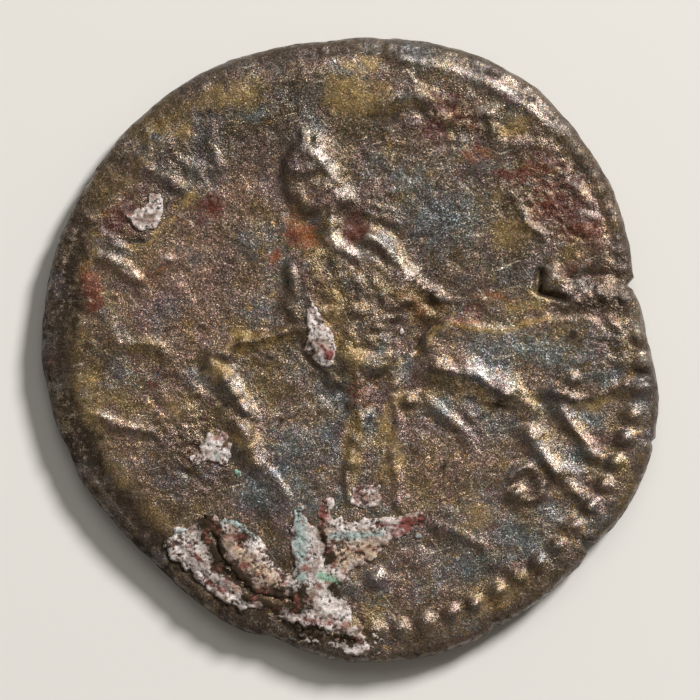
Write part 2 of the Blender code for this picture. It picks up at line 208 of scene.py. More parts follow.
def standing_figure(x, y):
    """A helmeted figure in a short tunic, a cloak over one arm, one hand on a leaning shield.
    Each stroke has the reach of its left and right flanks, its height and its path."""
    helmet = [(-1.9, 7.5), (-1.6, 7.55), (-1.1, 6.95), (-0.6, 6.3), (0.05, 5.5), (-0.2, 4.9),
              (-1.2, 4.7), (-2.0, 5.0), (-2.35, 5.9), (-2.2, 6.9)]
    trunk = [(-2.05, 3.3), (-1.5, 3.8), (-0.7, 3.7), (0.2, 3.6), (0.9, 4.1), (1.7, 3.6), (2.4, 2.6),
             (2.0, 1.6), (1.6, 0.6), (1.7, -0.5), (1.0, -0.9), (0.1, -1.2), (-0.7, -1.1),
             (-1.2, -0.4), (-1.7, 0.3), (-2.1, 1.0), (-2.3, 2.2)]
    strokes = [
        (0.3, 1.0, 1.25, [(-1.3, 6.85), (-1.75, 7.6)], 0.4),
        (1.0, 0.3, 1.25, [(-1.3, 6.85), (-0.85, 6.35), (-0.35, 5.7), (0.05, 5.3)], 0.4),
        (0.12, 0.2, 0.3, [(0.1, 5.25), (0.8, 5.2), (1.6, 4.95)]),
        (0.15, 0.3, 0.3, [(0.2, 5.05), (0.9, 4.85), (1.7, 4.6)]),
        (0.6, 0.9, 0.95, [(-0.65, 4.95), (-0.65, 4.2), (-0.35, 3.65), (0.2, 3.35), (0.9, 3.2)]),
        (0.6, 0.9, 1.15, [(0.6, 4.0), (1.05, 3.75), (1.45, 3.35)]),
        (0.3, 0.8, 0.65, [(1.4, 3.4), (1.8, 2.95), (2.3, 2.65)]),
        (0.15, 0.7, 0.35, [(2.2, 2.7), (2.8, 2.35), (3.3, 2.1)]),
        (0.35, 0.3, 0.85, [(-1.75, 3.4), (-2.05, 2.6), (-2.0, 1.6), (-1.7, 0.8)]),
        (0.2, 0.25, 0.95, [(-1.35, 3.1), (-1.1, 2.2), (-0.75, 1.6)]),
        (0.35, 0.35, 0.9, [(-2.0, 0.85), (-3.0, 0.5), (-3.7, 0.3), (-4.3, 0.1), (-4.8, -0.1)]),
        (0.55, 0.5, 1.05,
         [(0.3, -0.8), (0.3, -1.8), (0.4, -2.7), (0.2, -3.5), (-0.05, -4.2), (0.0, -5.2)], 0.35),
    ]
    lumps = [
        ((0.4, -1.3), (0.5, 0.6), 0.9), ((-0.35, -1.0), (0.5, 0.3), 0.8), ((-4.8, -0.4), (0.3, 0.4), 0.7),
        ((-4.35, -0.15), (0.35, 0.2), 0.85), ((-4.3, -0.75), (0.3, 0.2), 0.7),
        ((1.2, 1.2), (0.3, 0.2), 1.0),
        ((0.85, 0.45), (0.25, 0.2), 0.95), ((2.1, 1.85), (0.3, 0.25), 0.9),
        ((3.15, 1.9), (0.3, 0.25), 0.95),
        ((2.65, 1.35), (0.25, 0.25), 0.7), ((0.2, -0.3), (0.4, 0.2), 0.95), ((2.6, 2.2), (0.2, 0.25), 0.7),
        ((-1.6, 5.7), (0.25, 0.2), 0.95), ((-1.85, 6.2), (0.2, 0.4), 0.85), ((-1.3, 5.1), (0.4, 0.2), 0.75),
        ((-1.2, 7.35), (0.25, 0.2), 0.9), ((0.1, 2.4), (0.3, 0.15), 0.9),
        ((0.75, 2.1), (0.15, 0.3), 0.9), ((-0.2, 3.1), (0.25, 0.15), 0.85), ((1.5, 1.9), (0.2, 0.25), 0.85),
        ((-0.5, 0.3), (0.3, 0.2), 0.85), ((0.5, 1.5), (0.2, 0.15), 0.9), ((-1.2, 0.9), (0.2, 0.3), 0.85),
        ((-3.2, 0.5), (0.2, 0.25), 0.95), ((-2.6, 0.65), (0.2, 0.25), 0.95),
        ((-3.8, 0.3), (0.2, 0.25), 0.95),
        ((0.65, -2.2), (0.2, 0.3), 0.8), ((0.1, -3.0), (0.2, 0.25), 0.85),
        ((0.25, -3.9), (0.25, 0.2), 0.75),
    ]
    folds = [
        (0.14, 0.25, [(-1.75, 3.0), (-1.6, 2.0), (-1.1, 1.0)]),
        (0.16, 0.15, [(-0.9, 3.3), (-0.4, 2.4), (0.1, 1.2)]),
        (0.16, 0.15, [(0.3, 3.0), (0.9, 2.2), (1.0, 1.5)]),
        (0.2, 0.15, [(-0.5, 0.9), (0.2, 0.2), (0.9, 0.1)]),
        (0.3, 0.3, [(0.25, 4.7), (0.35, 4.2)]), (0.16, 0.3, [(1.5, 1.0), (2.5, 1.0)]),
        (0.22, 0.3, [(-4.6, -0.3), (-4.5, -0.45)]), (0.2, 0.25, [(-1.0, -0.2), (-0.3, -0.8), (0.6, -0.6)]),
    ]
    return np.clip(highest([
        raised_shape(x, y, helmet, 0.9, 0.5),
        raised_shape(x, y, trunk, 0.8, 0.4),
        *[ridge(x, y, *stroke) for stroke in strokes],
        *[mound(x, y, *lump) for lump in lumps],
    ]) - highest(ridge(x, y, reach, reach, *fold) for reach, *fold in folds), 0, None)


def spear_and_shield(x, y):
    """The spear down the right side, and the long shield that leans under the other hand."""
    strokes = [
        (0.25, 0.25, 0.3, [(1.6, -0.5), (1.6, -2.0), (1.65, -3.5), (1.65, -5.5)]),
        (0.5, 0.6, 0.95, [(-4.3, -0.8), (-4.1, -1.3), (-3.9, -1.8), (-3.5, -2.1)]),
        (0.6, 0.6, 1.0, [(-4.1, -2.3), (-3.8, -2.8), (-3.5, -3.4), (-3.2, -3.9)]),
        (0.2, 0.7, 0.28, [(-3.1, -3.9), (-2.6, -4.4), (-2.2, -5.0)]),
        (0.15, 0.4, 0.12, [(-5.9, -0.8), (-5.4, -1.3), (-4.9, -1.7)]),
    ]
    knots = [((1.62 + 0.06 * math.sin(2.3 * i), -0.7 - 0.42 * i), (0.2, 0.22),
              0.35 + 0.15 * math.cos(1.7 * i))
             for i in range(12)]
    raised = [ridge(x, y, *stroke) for stroke in strokes] + [mound(x, y, *knot) for knot in knots]
    return highest([*raised, mound(x, y, (2.1, -1.7), (0.27, 0.27), 0.6)])


def side_strokes(x, y):
    """Broad worn strokes up both sides. Each has the reach of its left and right flanks, its
    height and its path."""
    strokes = [
        (0.25, 0.4, 0.4, [(-4.75, 7.8), (-4.9, 7.2), (-4.6, 6.5)]),
        (0.2, 0.3, 0.35, [(-6.8, 7.55), (-6.3, 7.4)]),
        (0.25, 0.35, 0.4, [(-5.8, 6.75), (-5.3, 6.35)]),
        (0.25, 0.4, 0.4, [(-6.4, 6.25), (-5.85, 5.75)]),
        (0.15, 0.35, 0.3, [(-7.5, 7.05), (-7.2, 6.7), (-6.9, 6.4)]),
        (0.18, 0.4, 0.25, [(-8.6, 6.5), (-7.9, 6.0)]),
        (0.18, 0.5, 0.4, [(-9.1, 4.75), (-8.7, 4.35), (-8.3, 3.95), (-7.9, 3.7)]),
        (0.3, 0.7, 0.45, [(-8.5, 3.35), (-7.9, 2.95), (-7.4, 2.55)]),
        (0.15, 0.25, 0.3, [(-7.2, 2.5), (-6.8, 3.0), (-6.2, 3.25)]),
        (0.15, 0.5, 0.2, [(-6.0, 2.4), (-5.5, 1.8), (-5.05, 1.0)]),
        (0.35, 0.5, 0.6, [(-8.5, 1.2), (-8.25, 0.75), (-7.9, 0.4)]),
        (0.3, 0.4, 0.5, [(-7.9, 0.4), (-7.2, 0.25), (-6.5, 0.0)]),
        (0.15, 0.2, 0.3, [(-8.0, 1.0), (-7.7, 0.5), (-7.6, 0.1)]),
        (0.3, 0.4, 0.4, [(-8.8, -2.3), (-8.0, -2.5), (-7.0, -2.65)]),
        (0.2, 0.3, 0.25, [(-6.9, -2.7), (-6.5, -3.2)]),
        (0.4, 0.7, 0.8, [(1.1, 8.65), (1.6, 8.95), (2.3, 9.1), (2.9, 8.85), (3.35, 8.4)]),
        (0.2, 0.4, 0.4, [(4.9, 7.5), (5.6, 7.35), (6.4, 7.4), (7.8, 7.2)]),
        (0.2, 0.5, 0.5, [(6.9, 6.7), (7.3, 6.35), (7.7, 6.0), (8.4, 5.6)]),
        (0.2, 0.35, 0.5, [(5.9, 5.5), (6.1, 5.0), (6.35, 4.5), (6.9, 4.1)]),
        (0.2, 0.4, 0.4, [(7.9, 5.0), (8.7, 4.75)]),
        (0.12, 0.3, 0.15, [(0.2, 5.45), (1.0, 5.5), (2.3, 5.9)]),
        (0.3, 0.5, 1.1, [(7.2, -1.3), (7.6, -1.5), (8.0, -1.7)]),
        (0.3, 0.5, 0.8, [(8.2, -1.7), (8.9, -1.45), (9.7, -1.2)]),
        (0.25, 0.3, 1.0, [(7.9, -0.9), (7.6, -1.4), (7.35, -1.8)]),
        (0.35, 0.5, 1.0, [(7.4, -1.9), (7.75, -2.5), (8.15, -3.05), (8.6, -3.7)]),
        (0.65, 0.7, 1.15, [(6.35, -2.9), (6.7, -3.35), (7.0, -3.75), (7.4, -4.2)]),
        (0.3, 0.3, 0.6, [(7.5, -4.3), (7.8, -4.8), (8.3, -5.2)]),
        (0.3, 0.3, 0.8,
         [(6.75, -5.1), (6.85, -4.7), (6.65, -4.25), (6.2, -4.05), (5.8, -4.2), (5.6, -4.5)]),
        (0.85, 0.8, 1.5, [(4.2, -0.9), (4.8, -1.1), (5.5, -1.5)]),
        (0.5, 0.9, 1.0, [(3.0, -0.45), (3.8, -0.8), (4.7, -1.1), (5.6, -1.5), (6.2, -1.75)]),
        (0.25, 0.4, 0.5, [(2.8, -1.6), (3.2, -2.0), (3.6, -2.4), (4.2, -2.9)]),
        (0.35, 0.35, 0.5, [(3.6, -1.3), (4.2, -1.9), (4.3, -2.3)]),
        (0.15, 0.35, 0.35, [(3.0, -6.0), (4.0, -6.35), (4.8, -6.85)]),
    ]
    valleys = [
        (0.3, 0.35, [(7.1, -2.2), (7.5, -2.7), (7.9, -3.3)]), (0.3, 0.35, [(6.2, -4.6), (6.3, -4.75)]),
        (0.35, 0.3, [(-8.9, 2.9), (-7.6, 2.2)]), (0.25, 0.3, [(-9.2, -2.9), (-7.2, -3.2)]),
        (0.3, 0.4, [(3.2, -1.3), (4.3, -1.9), (5.6, -2.2)]), (0.4, 0.3, [(1.0, 8.1), (2.4, 8.4)]),
        (0.3, 0.3, [(4.2, 6.9), (5.4, 6.8)]), (0.35, 0.3, [(5.3, -5.3), (6.0, -5.7)]),
    ]
    lumps = [((0.9, -7.9), (0.4, 0.4), 0.55), ((5.8, -4.95), (0.4, 0.35), 0.85),
             ((6.35, -5.25), (0.3, 0.2), 0.6), ((4.9, 8.4), (0.35, 0.3), 0.6),
             ((5.1, 7.75), (0.25, 0.25), 0.7),
             ((8.15, 4.45), (0.35, 0.35), 0.5), ((-6.35, 3.2), (0.3, 0.2), 0.3),
             ((-9.2, 2.0), (0.5, 0.7), 0.3)]
    raised = [ridge(x, y, *stroke) for stroke in strokes] + [mound(x, y, *lump) for lump in lumps]
    return highest(raised) - highest(ridge(x, y, reach, reach, *valley) for reach, *valley in valleys)


def worn_border(x, y):
    """The ring of dots: whole at the lower right, run together above it, worn away at the left."""
    centre = REVERSE_BORDER["centre"]
    angle = np.arctan2(y - centre[1], x - centre[0])
    left = 0.12 + 0.88 * np.clip(np.cos(angle + math.radians(35)), 0, 1) ** 0.5
    merged = ridge(x, y, 0.3, 0.4, 1.15, [(1.4, 10.5), (2.4, 10.2), (3.2, 10.1), (4.7, 9.55), (6.3, 8.65),
                                          (7.6, 7.5), (8.6, 6.2), (9.05, 5.5), (9.4, 4.5)])
    return np.maximum(left * dot_border(x, y, **REVERSE_BORDER), merged)


# How high the lip of the split stands, in mm
SPLIT_STEP = 0.16


def split_edge(x, y):
    """The split at the right: its lower lip is rough and proud, the metal above it folds in."""
    lip = ridge(x, y, 0.4, 0.5, 1.0, [(7.6, 1.75), (8.7, 2.05), (9.5, 1.95), (10.6, 1.3)])
    fold = ridge(x, y, 0.35, 0.35, 0.6, [(7.8, 2.5), (9.0, 2.75), (10.4, 2.35)])
    return lip + mound(x, y, (7.25, 2.6), (0.45, 0.6), 0.6) - fold


def surface_flaws(x, y):
    """The lamination at the right, whose skin has lifted, and the open cracks, in mm."""
    flake = [(2.5, 0.2), (2.95, 0.95), (3.5, 1.25), (4.6, 0.95), (5.4, 0.85), (6.5, 1.15), (8.0, 1.3),
             (9.6, 0.9), (9.7, -0.9), (8.2, -1.5), (6.8, -1.7), (4.8, -1.1), (3.1, -0.6)]
    cracks = [
        (0.12, 0.6, [(6.75, 2.8), (6.7, 2.05), (7.6, 1.8)]),
        (0.12, 0.2, [(2.3, -0.1), (2.45, 0.4), (3.0, 1.1)]),
        (0.08, 0.1, [(-1.75, 0.4), (-1.6, -0.1), (-1.1, -0.5), (-0.6, -0.9), (-0.3, -1.4)]),
        (0.09, 0.1, [(-6.9, -1.1), (-7.0, -1.6), (-6.7, -1.9)]), (0.1, 0.12, [(-5.3, -1.7), (-5.1, -3.0)]),
        (0.08, 0.1, [(-5.9, -4.1), (-5.3, -4.6), (-4.8, -4.9)]),
    ]
    opened = highest(ridge(x, y, reach, reach, *crack) for reach, *crack in cracks)
    return raised_shape(x, y, flake, 0.07, 0.15) - opened


# How far the face falls away at the worn edge, and how strongly wear and lumps mark the relief
RIM_FALL = 0.16
RIM_FALL_WIDTH = 0.8
WEAR = 0.35
LUMPS = 0.3


def reverse_height(x, y, inset):
    """Height of the upper face at each point, where inset is the distance in from the edge."""
    bent_x = x + 0.13 * clouds(x, y, 0.9, 11, 4)
    bent_y = y + 0.13 * clouds(x, y, 0.9, 21, 4)
    angle = np.arctan2(y, x)
    lower_right = np.clip(np.cos(angle + 0.45), 0, 1) ** 2
    rim = (1 - within_rim(inset)) * RIM_SWELL * lower_right
    fall = (1 - smooth_step(inset, EDGE_ROUND, EDGE_ROUND + RIM_FALL_WIDTH)) * RIM_FALL * (1 - lower_right)
    figure = highest([standing_figure(bent_x, bent_y), spear_and_shield(bent_x, bent_y)])
    relief = highest([
        FIGURE_RELIEF * figure,
        STROKE_RELIEF * side_strokes(bent_x, bent_y),
        BEAD_RELIEF * worn_border(x + 0.05 * clouds(x, y, 0.7, 27), y),
    ])
    relief = relief * (1 + WEAR * clouds(x, y, 1.1, 26, 3) + LUMPS * clouds(x, y, 0.4, 29, 2))
    flaws = surface_flaws(bent_x, bent_y)
    return UPPER_FIELD + relief + flaws + rim - fall + SPLIT_STEP * split_edge(bent_x, bent_y)


# Where the metal is corroded into crumbling lumps: centre, two radii, turn, strength
CORRODED = [
    (-9.9, 3.0, 0.6, 3.0, -12, 0.55), (-9.8, -3.0, 0.6, 3.0, 18, 0.55), (-7.9, 7.0, 0.6, 2.4, -42, 0.6),
    (-7.4, -7.0, 0.6, 2.6, 42, 0.4),
    (3.4, 8.3, 1.6, 1.0, -20, 1), (7.4, 5.6, 1.2, 1.9, 10, 1), (5.2, 8.0, 0.9, 0.7, 0, 0.8),
    (-8.0, 4.5, 1.0, 0.7, 0, 1),
    (8.8, 1.9, 1.6, 0.5, 0, 1), (-5.4, -2.8, 0.8, 1.6, 10, 0.8), (-0.3, 1.6, 1.7, 2.3, 0, 0.55),
    (9.6, 3.2, 0.4, 0.8, 0, 0.6), (9.3, 0.4, 0.6, 0.9, 0, 0.8),
    (2.6, 1.8, 0.9, 0.6, 0, 0.7), (4.4, -1.6, 1.4, 0.5, -25, 0.7), (-1.0, -9.9, 2.4, 0.8, 0, 1),
    (-3.0, 0.4, 1.5, 0.4, 15, 0.6),
    (-5.9, 7.0, 1.8, 1.4, 0, 0.4), (7.6, -6.8, 1.2, 0.8, 40, 0.5), (0.3, -2.6, 0.6, 2.4, 0, 0.8),
    (-4.2, -7.5, 0.8, 1.2, 30, 1.3), (-3.7, -2.8, 0.6, 1.6, 20, 0.5),
]


def reverse_roughness(x, y):
    """The unevenness of the worn and corroded skin: slow swells, pits, crumbs and fine grain."""
    crumbling = patches(x + 0.3 * clouds(x, y, 0.9, 36), y, CORRODED)
    crumbs = crumbling * (0.1 * np.abs(clouds(x, y, 0.45, 37, 2)) + 0.05 * clouds(x, y, 0.25, 38, 2) - 0.03)
    swells = 0.05 * clouds(x, y, 4.0, 31, 3) + 0.02 * clouds(x, y, 0.7, 35, 3)
    pits = smooth_step(clouds(x, y, 0.8, 41), 0.2, 0.8)
    fine_pits = smooth_step(clouds(x, y, 0.3, 45), 0.3, 0.9)
    return swells + crumbs - 0.03 * pits - 0.02 * fine_pits + 0.009 * clouds(x, y, 0.2, 47, 2)


OBVERSE_BORDER = {"centre": (0.1, -0.1), "radius": 9.45, "dots": 66, "width": 0.6}
CROWN_CENTRE = (-0.3, 1.3)
CROWN_RAYS = [28.0, 52.0, 76.0, 100.0, 124.0]
RAY_START, RAY_END = 3.5, 6.7
STROKE_RING_RADIUS = 8.0
STROKE_COUNT = 52


def radiate_bust(u, v):
    """A draped bust to the right with a radiate crown, its face a plain classical profile."""
    head = [
        (2.5, 3.6), (2.9, 2.5), (3.0, 1.6), (2.95, 1.15), (3.3, 0.4), (3.7, -0.3),
        (3.55, -0.65), (3.1, -0.85), (3.2, -1.2), (3.05, -1.5), (3.1, -1.8), (2.85, -2.1),
        (2.95, -2.6), (2.6, -3.05), (1.9, -3.2), (1.0, -2.9), (0.8, -4.2), (1.2, -5.4),
        (-2.5, -5.6), (-2.3, -4.0), (-2.7, -2.2), (-3.3, -0.4), (-3.5, 1.4), (-3.1, 3.1),
        (-2.0, 4.4), (-0.4, 5.0), (1.2, 4.7),
    ]
    bust = [(-2.6, -5.2), (-4.2, -6.0), (-5.2, -7.3), (-3.4, -8.2), (0.0, -8.6), (3.4, -8.1),
            (4.6, -7.2), (3.2, -6.0), (1.2, -5.2), (-0.6, -4.8)]
    rays = []
    for direction in CROWN_RAYS:
        c, s = math.cos(math.radians(direction)), math.sin(math.radians(direction))
        ends = [(CROWN_CENTRE[0] + r * c, CROWN_CENTRE[1] + r * s) for r in (RAY_START, RAY_END)]
        rays.append(ridge(u, v, 0.75, 0.75, 0.85, ends, 0.3))
    form = highest([
        raised_shape(u, v, head, 0.85, 1.6),
        raised_shape(u, v, bust, 0.7, 0.9),
        ridge(u, v, 0.35, 0.35, 1.0, [(2.75, 3.5), (0.4, 3.1), (-1.9, 1.9), (-3.4, 0.3)]),
        ridge(u, v, 0.25, 0.25, 0.55, [(-3.4, 0.2), (-4.3, -0.9), (-4.5, -2.4)], 0.6),
        ridge(u, v, 0.25, 0.25, 0.5, [(-3.2, -0.2), (-3.7, -1.6), (-4.0, -3.2)], 0.6),
        ridge(u, v, 0.22, 0.22, 1.0, [(1.55, 1.5), (2.6, 1.45)]),
        ridge(u, v, 0.2, 0.2, 0.95, [(1.7, 0.85), (2.4, 0.8)]),
        mound(u, v, (1.6, -0.9), (1.3, 1.5), 1.0),
        ridge(u, v, 0.25, 0.25, 1.0, [(-0.4, 1.0), (0.1, 0.5), (-0.1, -0.3), (-0.5, -0.6)]),
        *rays,
    ])
    for fold in ([(-3.4, -5.8), (-1.8, -7.2), (-1.4, -8.4)], [(-1.2, -5.4), (0.2, -7.0), (0.6, -8.4)],
                 [(2.6, -6.2), (1.2, -7.0), (0.4, -8.2)], [(-2.4, -4.9), (0.4, -5.2), (1.4, -5.0)],
                 [(2.95, -1.5), (2.3, -1.55)], [(0.9, -2.7), (-0.2, -2.3), (-0.8, -1.2)]):
        form = form - ridge(u, v, 0.22, 0.22, 0.25, fold)
    return np.clip(form, 0, 1)


def ring_of_strokes(u, v):
    """Two arcs of worn upright and slanted strokes, inside the border of the lower face."""
    strokes = []
    for i in range(STROKE_COUNT):
        angle = math.radians(238.0 - 296.0 * i / (STROKE_COUNT - 1))
        lean = math.radians((0.0, 16.0, -14.0, 6.0, -22.0, 34.0, -5.0)[i % 7])
        reach = (0.62, 0.5, 0.62, 0.38, 0.56, 0.3, 0.6)[i % 7]
        over_crown = 34.0 < math.degrees(angle) < 118.0
        if over_crown or i % 11 == 10:
            continue
        centre = (STROKE_RING_RADIUS * math.cos(angle), STROKE_RING_RADIUS * math.sin(angle))
        way = (math.cos(angle + lean), math.sin(angle + lean))
        ends = [(centre[0] + side * reach * way[0], centre[1] + side * reach * way[1])
                for side in (-1, 1)]
        strokes.append(ridge(u, v, 0.24, 0.24, 1.0, ends))
    return highest(strokes)


def obverse_height(x, y, inset):
    """Height of the lower face. The worn rim is flat at 0, and the die lies above it."""
    u, v = x, -y
    relief = highest([
        PORTRAIT_RELIEF * radiate_bust(u, v),
        BEAD_RELIEF * dot_border(u, v, **OBVERSE_BORDER),
        STROKE_RELIEF * ring_of_strokes(u, v),
    ])
    uneven = 0.03 * clouds(u, v, 3.0, 61, 4)
    return np.clip(UNDER_FIELD - relief - uneven, 0.01, None) * within_rim(inset)


# Cells across the two faces, and the rings of faces round the edge
UPPER_CELLS = 270
LOWER_CELLS = 110
EDGE_RINGS = 10


def blank_box():
    """Two grids joined by rings of faces, a box that the strike shapes into a coin."""
    mesh = bmesh.new()
    bmesh.ops.create_grid(mesh, x_segments=UPPER_CELLS, y_segments=UPPER_CELLS, size=1)
    rim = [edge for edge in mesh.edges if edge.is_boundary]
    for _ in range(EDGE_RINGS):
        made = bmesh.ops.extrude_edge_only(mesh, edges=rim)["geom"]
        rim = [part for part in made if isinstance(part, bmesh.types.BMEdge) and part.is_boundary]
        corners = [part for part in made if isinstance(part, bmesh.types.BMVert)]
        bmesh.ops.translate(mesh, verts=corners, vec=(0, 0, -1))
    below = bmesh.ops.create_grid(mesh, x_segments=LOWER_CELLS, y_segments=LOWER_CELLS, size=1)
    bmesh.ops.translate(mesh, verts=below["verts"], vec=(0, 0, -EDGE_RINGS - 1))
    bmesh.ops.bridge_loops(mesh, edges=[edge for edge in mesh.edges if edge.is_boundary])
    bmesh.ops.recalc_face_normals(mesh, faces=mesh.faces)
    return mesh


def square_to_disc(a, b):
    """Share of the radius, and the angle, of each point of a square, with even cells."""
    share = np.maximum(np.abs(a), np.abs(b))
    sideways = np.abs(a) > np.abs(b)
    angle = np.where(sideways, math.pi / 4 * b / np.where(sideways, a, 1),
                     math.pi / 2 - math.pi / 4 * a / np.where(sideways | (b == 0), 1, b))
    return share, np.where(np.where(sideways, a, b) < 0, angle + math.pi, angle)


# The power by which the outline's unevenness fades out towards the middle
NICK_REACH = 14


def neighbour_mean(values, edges, rounds):
    """Evens out values over the mesh, each round by one edge further."""
    count = np.bincount(edges.ravel(), minlength=len(values))
    for _ in range(rounds):
        total = np.bincount(edges[:, 0], values[edges[:, 1]], len(values))
        total += np.bincount(edges[:, 1], values[edges[:, 0]], len(values))
        values = total / count
    return values


# Rounds of evening out that stand for wear, and those that find the feet of the relief. The gain
# says how soon a foot counts in full, and crumbs stand so high there, in mm.
WEAR_ROUNDS = 2
FOOT_ROUNDS = 12
FOOT_GAIN = 9
FOOT_CRUMBS = 0.05
# 1 would be a half-round edge, and less is squarer
EDGE_SQUARENESS = 0.65


def strike(points, edges):
    """Moves the box's points onto the coin, and says where each lies on the drawn dies."""
    a, b, level = points[:, 0], points[:, 1], -points[:, 2]
    share, angle = square_to_disc(a, b)
    radius = edge_radius(angle)
    mean = radius.mean()
    reach = share * (mean - EDGE_ROUND) + (radius - mean) * share**NICK_REACH
    x, y = reach * np.cos(angle), reach * np.sin(angle)
    inset = edge_radius(np.arctan2(y, x)) - np.hypot(x, y)
    top, bottom = reverse_height(x, y, inset), obverse_height(x, y, inset)
    top = np.where(level == 0, neighbour_mean(top, edges, WEAR_ROUNDS), top)
    foot = np.clip((neighbour_mean(top, edges, FOOT_ROUNDS) - top) * FOOT_GAIN, 0, 1) * (level == 0)
    top = top + reverse_roughness(x, y) + FOOT_CRUMBS * foot * np.abs(clouds(x, y, 0.4, 49, 2))
    turn = math.pi * level / (EDGE_RINGS + 1)
    z = bottom + (top - bottom) * (1 + np.cos(turn)) / 2
    rough = 0.06 * clouds(angle * 10, level * 0.14, 0.8, 71, 4)
    bulge = (EDGE_ROUND + rough) * np.sin(turn) ** EDGE_SQUARENESS * (share > 0.999)
    out_x, out_y = x + bulge * np.cos(angle), y + bulge * np.sin(angle)
    return np.column_stack([out_x, out_y, z]), x, y, inset, level


low, high = (np.array(corner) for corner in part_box("coin"))
flan = blank_box()
coin_mesh = bpy.data.meshes.new("struck_coin")
flan.to_mesh(coin_mesh)
flan.free()
points = np.empty(len(coin_mesh.vertices) * 3, np.float32)
coin_mesh.vertices.foreach_get("co", points)
edges = np.empty(len(coin_mesh.edges) * 2, np.int32)
coin_mesh.edges.foreach_get("vertices", edges)
edges = edges.reshape(-1, 2)
drawn, die_x, die_y, inset, level = strike(points.reshape(-1, 3).astype(float), edges)
unit = (high[1] - low[1]) / DRAWN_HEIGHT
middle = (drawn.min(0) + drawn.max(0)) / 2
MM = 1000.0


def settle(drawn_points):
    """Takes drawn points to the place and size of the part's solid, in metres."""
    placed = (drawn_points - middle) * unit + (low + high) / 2
    placed[:, 2] = np.minimum(low[2] + drawn_points[:, 2] * 0.001, high[2])
    return placed


coin_mesh.vertices.foreach_set("co", settle(drawn).ravel())
coin_mesh.update()
coin_mesh.shade_smooth()


# Where the patina shows on the reverse: centre, two radii, turn in degrees, strength
OCHRE_SPOTS = [
    (-4.6, 9.0, 1.6, 0.5, 20, 1.1), (-6.8, 7.8, 1.3, 0.6, 40, 1.1), (-8.6, 5.8, 0.9, 0.6, 50, 1.0),
    (0.3, 8.9, 1.4, 0.8, 0, 1.0), (2.2, 8.7, 0.9, 0.4, 0, 0.9), (-8.6, -1.6, 0.9, 0.5, 0, 0.9),
    (0.6, 9.9, 0.9, 0.6, 0, 1), (-0.6, 9.2, 0.6, 0.5, 0, 0.8), (5.8, 7.9, 0.6, 0.5, 0, 1),
    (5.6, 4.3, 0.8, 0.8, 0, 1), (-5.7, 7.8, 0.6, 0.4, 10, 1), (-7.2, 7.3, 0.6, 0.5, 40, 0.8),
    (-5.6, 5.4, 0.5, 0.5, 0, 1), (-9.3, 3.4, 0.7, 0.9, 0, 0.7), (-9.2, -0.7, 0.8, 0.8, 10, 0.8),
    (-3.3, 0.45, 1.5, 0.35, 15, 1.3), (-4.6, -0.6, 0.5, 0.5, 0, 1), (0.35, -2.6, 0.35, 0.9, 5, 1.2),
    (0.1, -3.8, 0.4, 1.3, 5, 1.1), (1.5, -3.0, 0.35, 2.5, 0, 0.9), (-0.7, 1.3, 0.9, 1.6, 0, 0.8),
    (0.2, -0.4, 0.9, 0.6, 0, 0.8), (2.6, 1.7, 0.9, 0.5, -10, 1.0), (6.0, 1.7, 1.2, 0.4, 0, 0.8),
    (-3.6, -3.1, 0.4, 0.8, 20, 1.1), (-3.8, -1.6, 0.3, 0.8, 0, 0.9), (4.6, -5.7, 0.7, 0.6, 0, 0.8),
    (8.6, -1.9, 0.9, 0.3, 10, 0.9), (4.5, -1.6, 1.3, 0.4, -20, 0.9), (5.2, -8.6, 2.0, 0.5, 30, 0.7),
    (8.0, -6.3, 0.8, 0.6, 40, 0.7), (-6.2, -1.9, 0.6, 0.8, 0, 0.8), (3.4, 6.8, 0.5, 0.4, 0, 0.6),
    (-4.6, 8.9, 0.8, 0.4, 0, 0.7), (-8.4, 5.9, 0.8, 0.4, 40, 0.6), (1.9, 8.4, 0.9, 0.3, 0, 0.7),
]
BLUE_SPOTS = [
    (6.1, -6.5, 1.7, 0.7, -25, 1.1), (7.3, -5.6, 0.8, 0.6, 0, 0.9), (8.6, -2.3, 0.7, 0.5, 0, 1.0),
    (4.4, -7.4, 1.2, 0.5, 10, 0.9), (-2.2, 8.9, 1.2, 0.4, 10, 0.6), (-5.2, 7.4, 0.5, 0.7, 0, 0.5),
    (3.2, 4.6, 1.8, 1.3, 0, 0.9), (2.0, 6.2, 1.6, 1.0, 0, 0.7), (-3.3, 8.4, 0.7, 0.5, 20, 0.8),
    (-2.0, -3.6, 1.2, 1.6, 0, 0.8), (0.8, -2.5, 0.4, 0.8, 0, 0.7), (6.4, 0.0, 2.6, 0.7, -10, 1.0),
    (8.9, -0.8, 0.9, 0.5, 0, 1.1), (6.0, -7.0, 0.9, 0.6, 0, 0.8), (7.8, -3.7, 0.6, 0.5, -40, 1.0),
    (-3.1, -5.0, 0.5, 0.8, 0, 1.1), (3.4, -1.8, 0.4, 0.3, 0, 0.9), (2.0, -0.6, 0.4, 0.7, 0, 0.9),
    (-4.4, 7.0, 0.5, 0.6, 0, 0.6), (-7.8, -0.7, 0.7, 0.5, 0, 0.7), (-1.8, 1.8, 0.3, 0.7, 10, 0.7),
    (1.1, 3.7, 0.7, 0.4, -40, 0.8), (8.4, 4.8, 0.5, 0.4, 0, 0.7), (-0.6, -3.4, 0.5, 1.0, 0, 0.8),
]
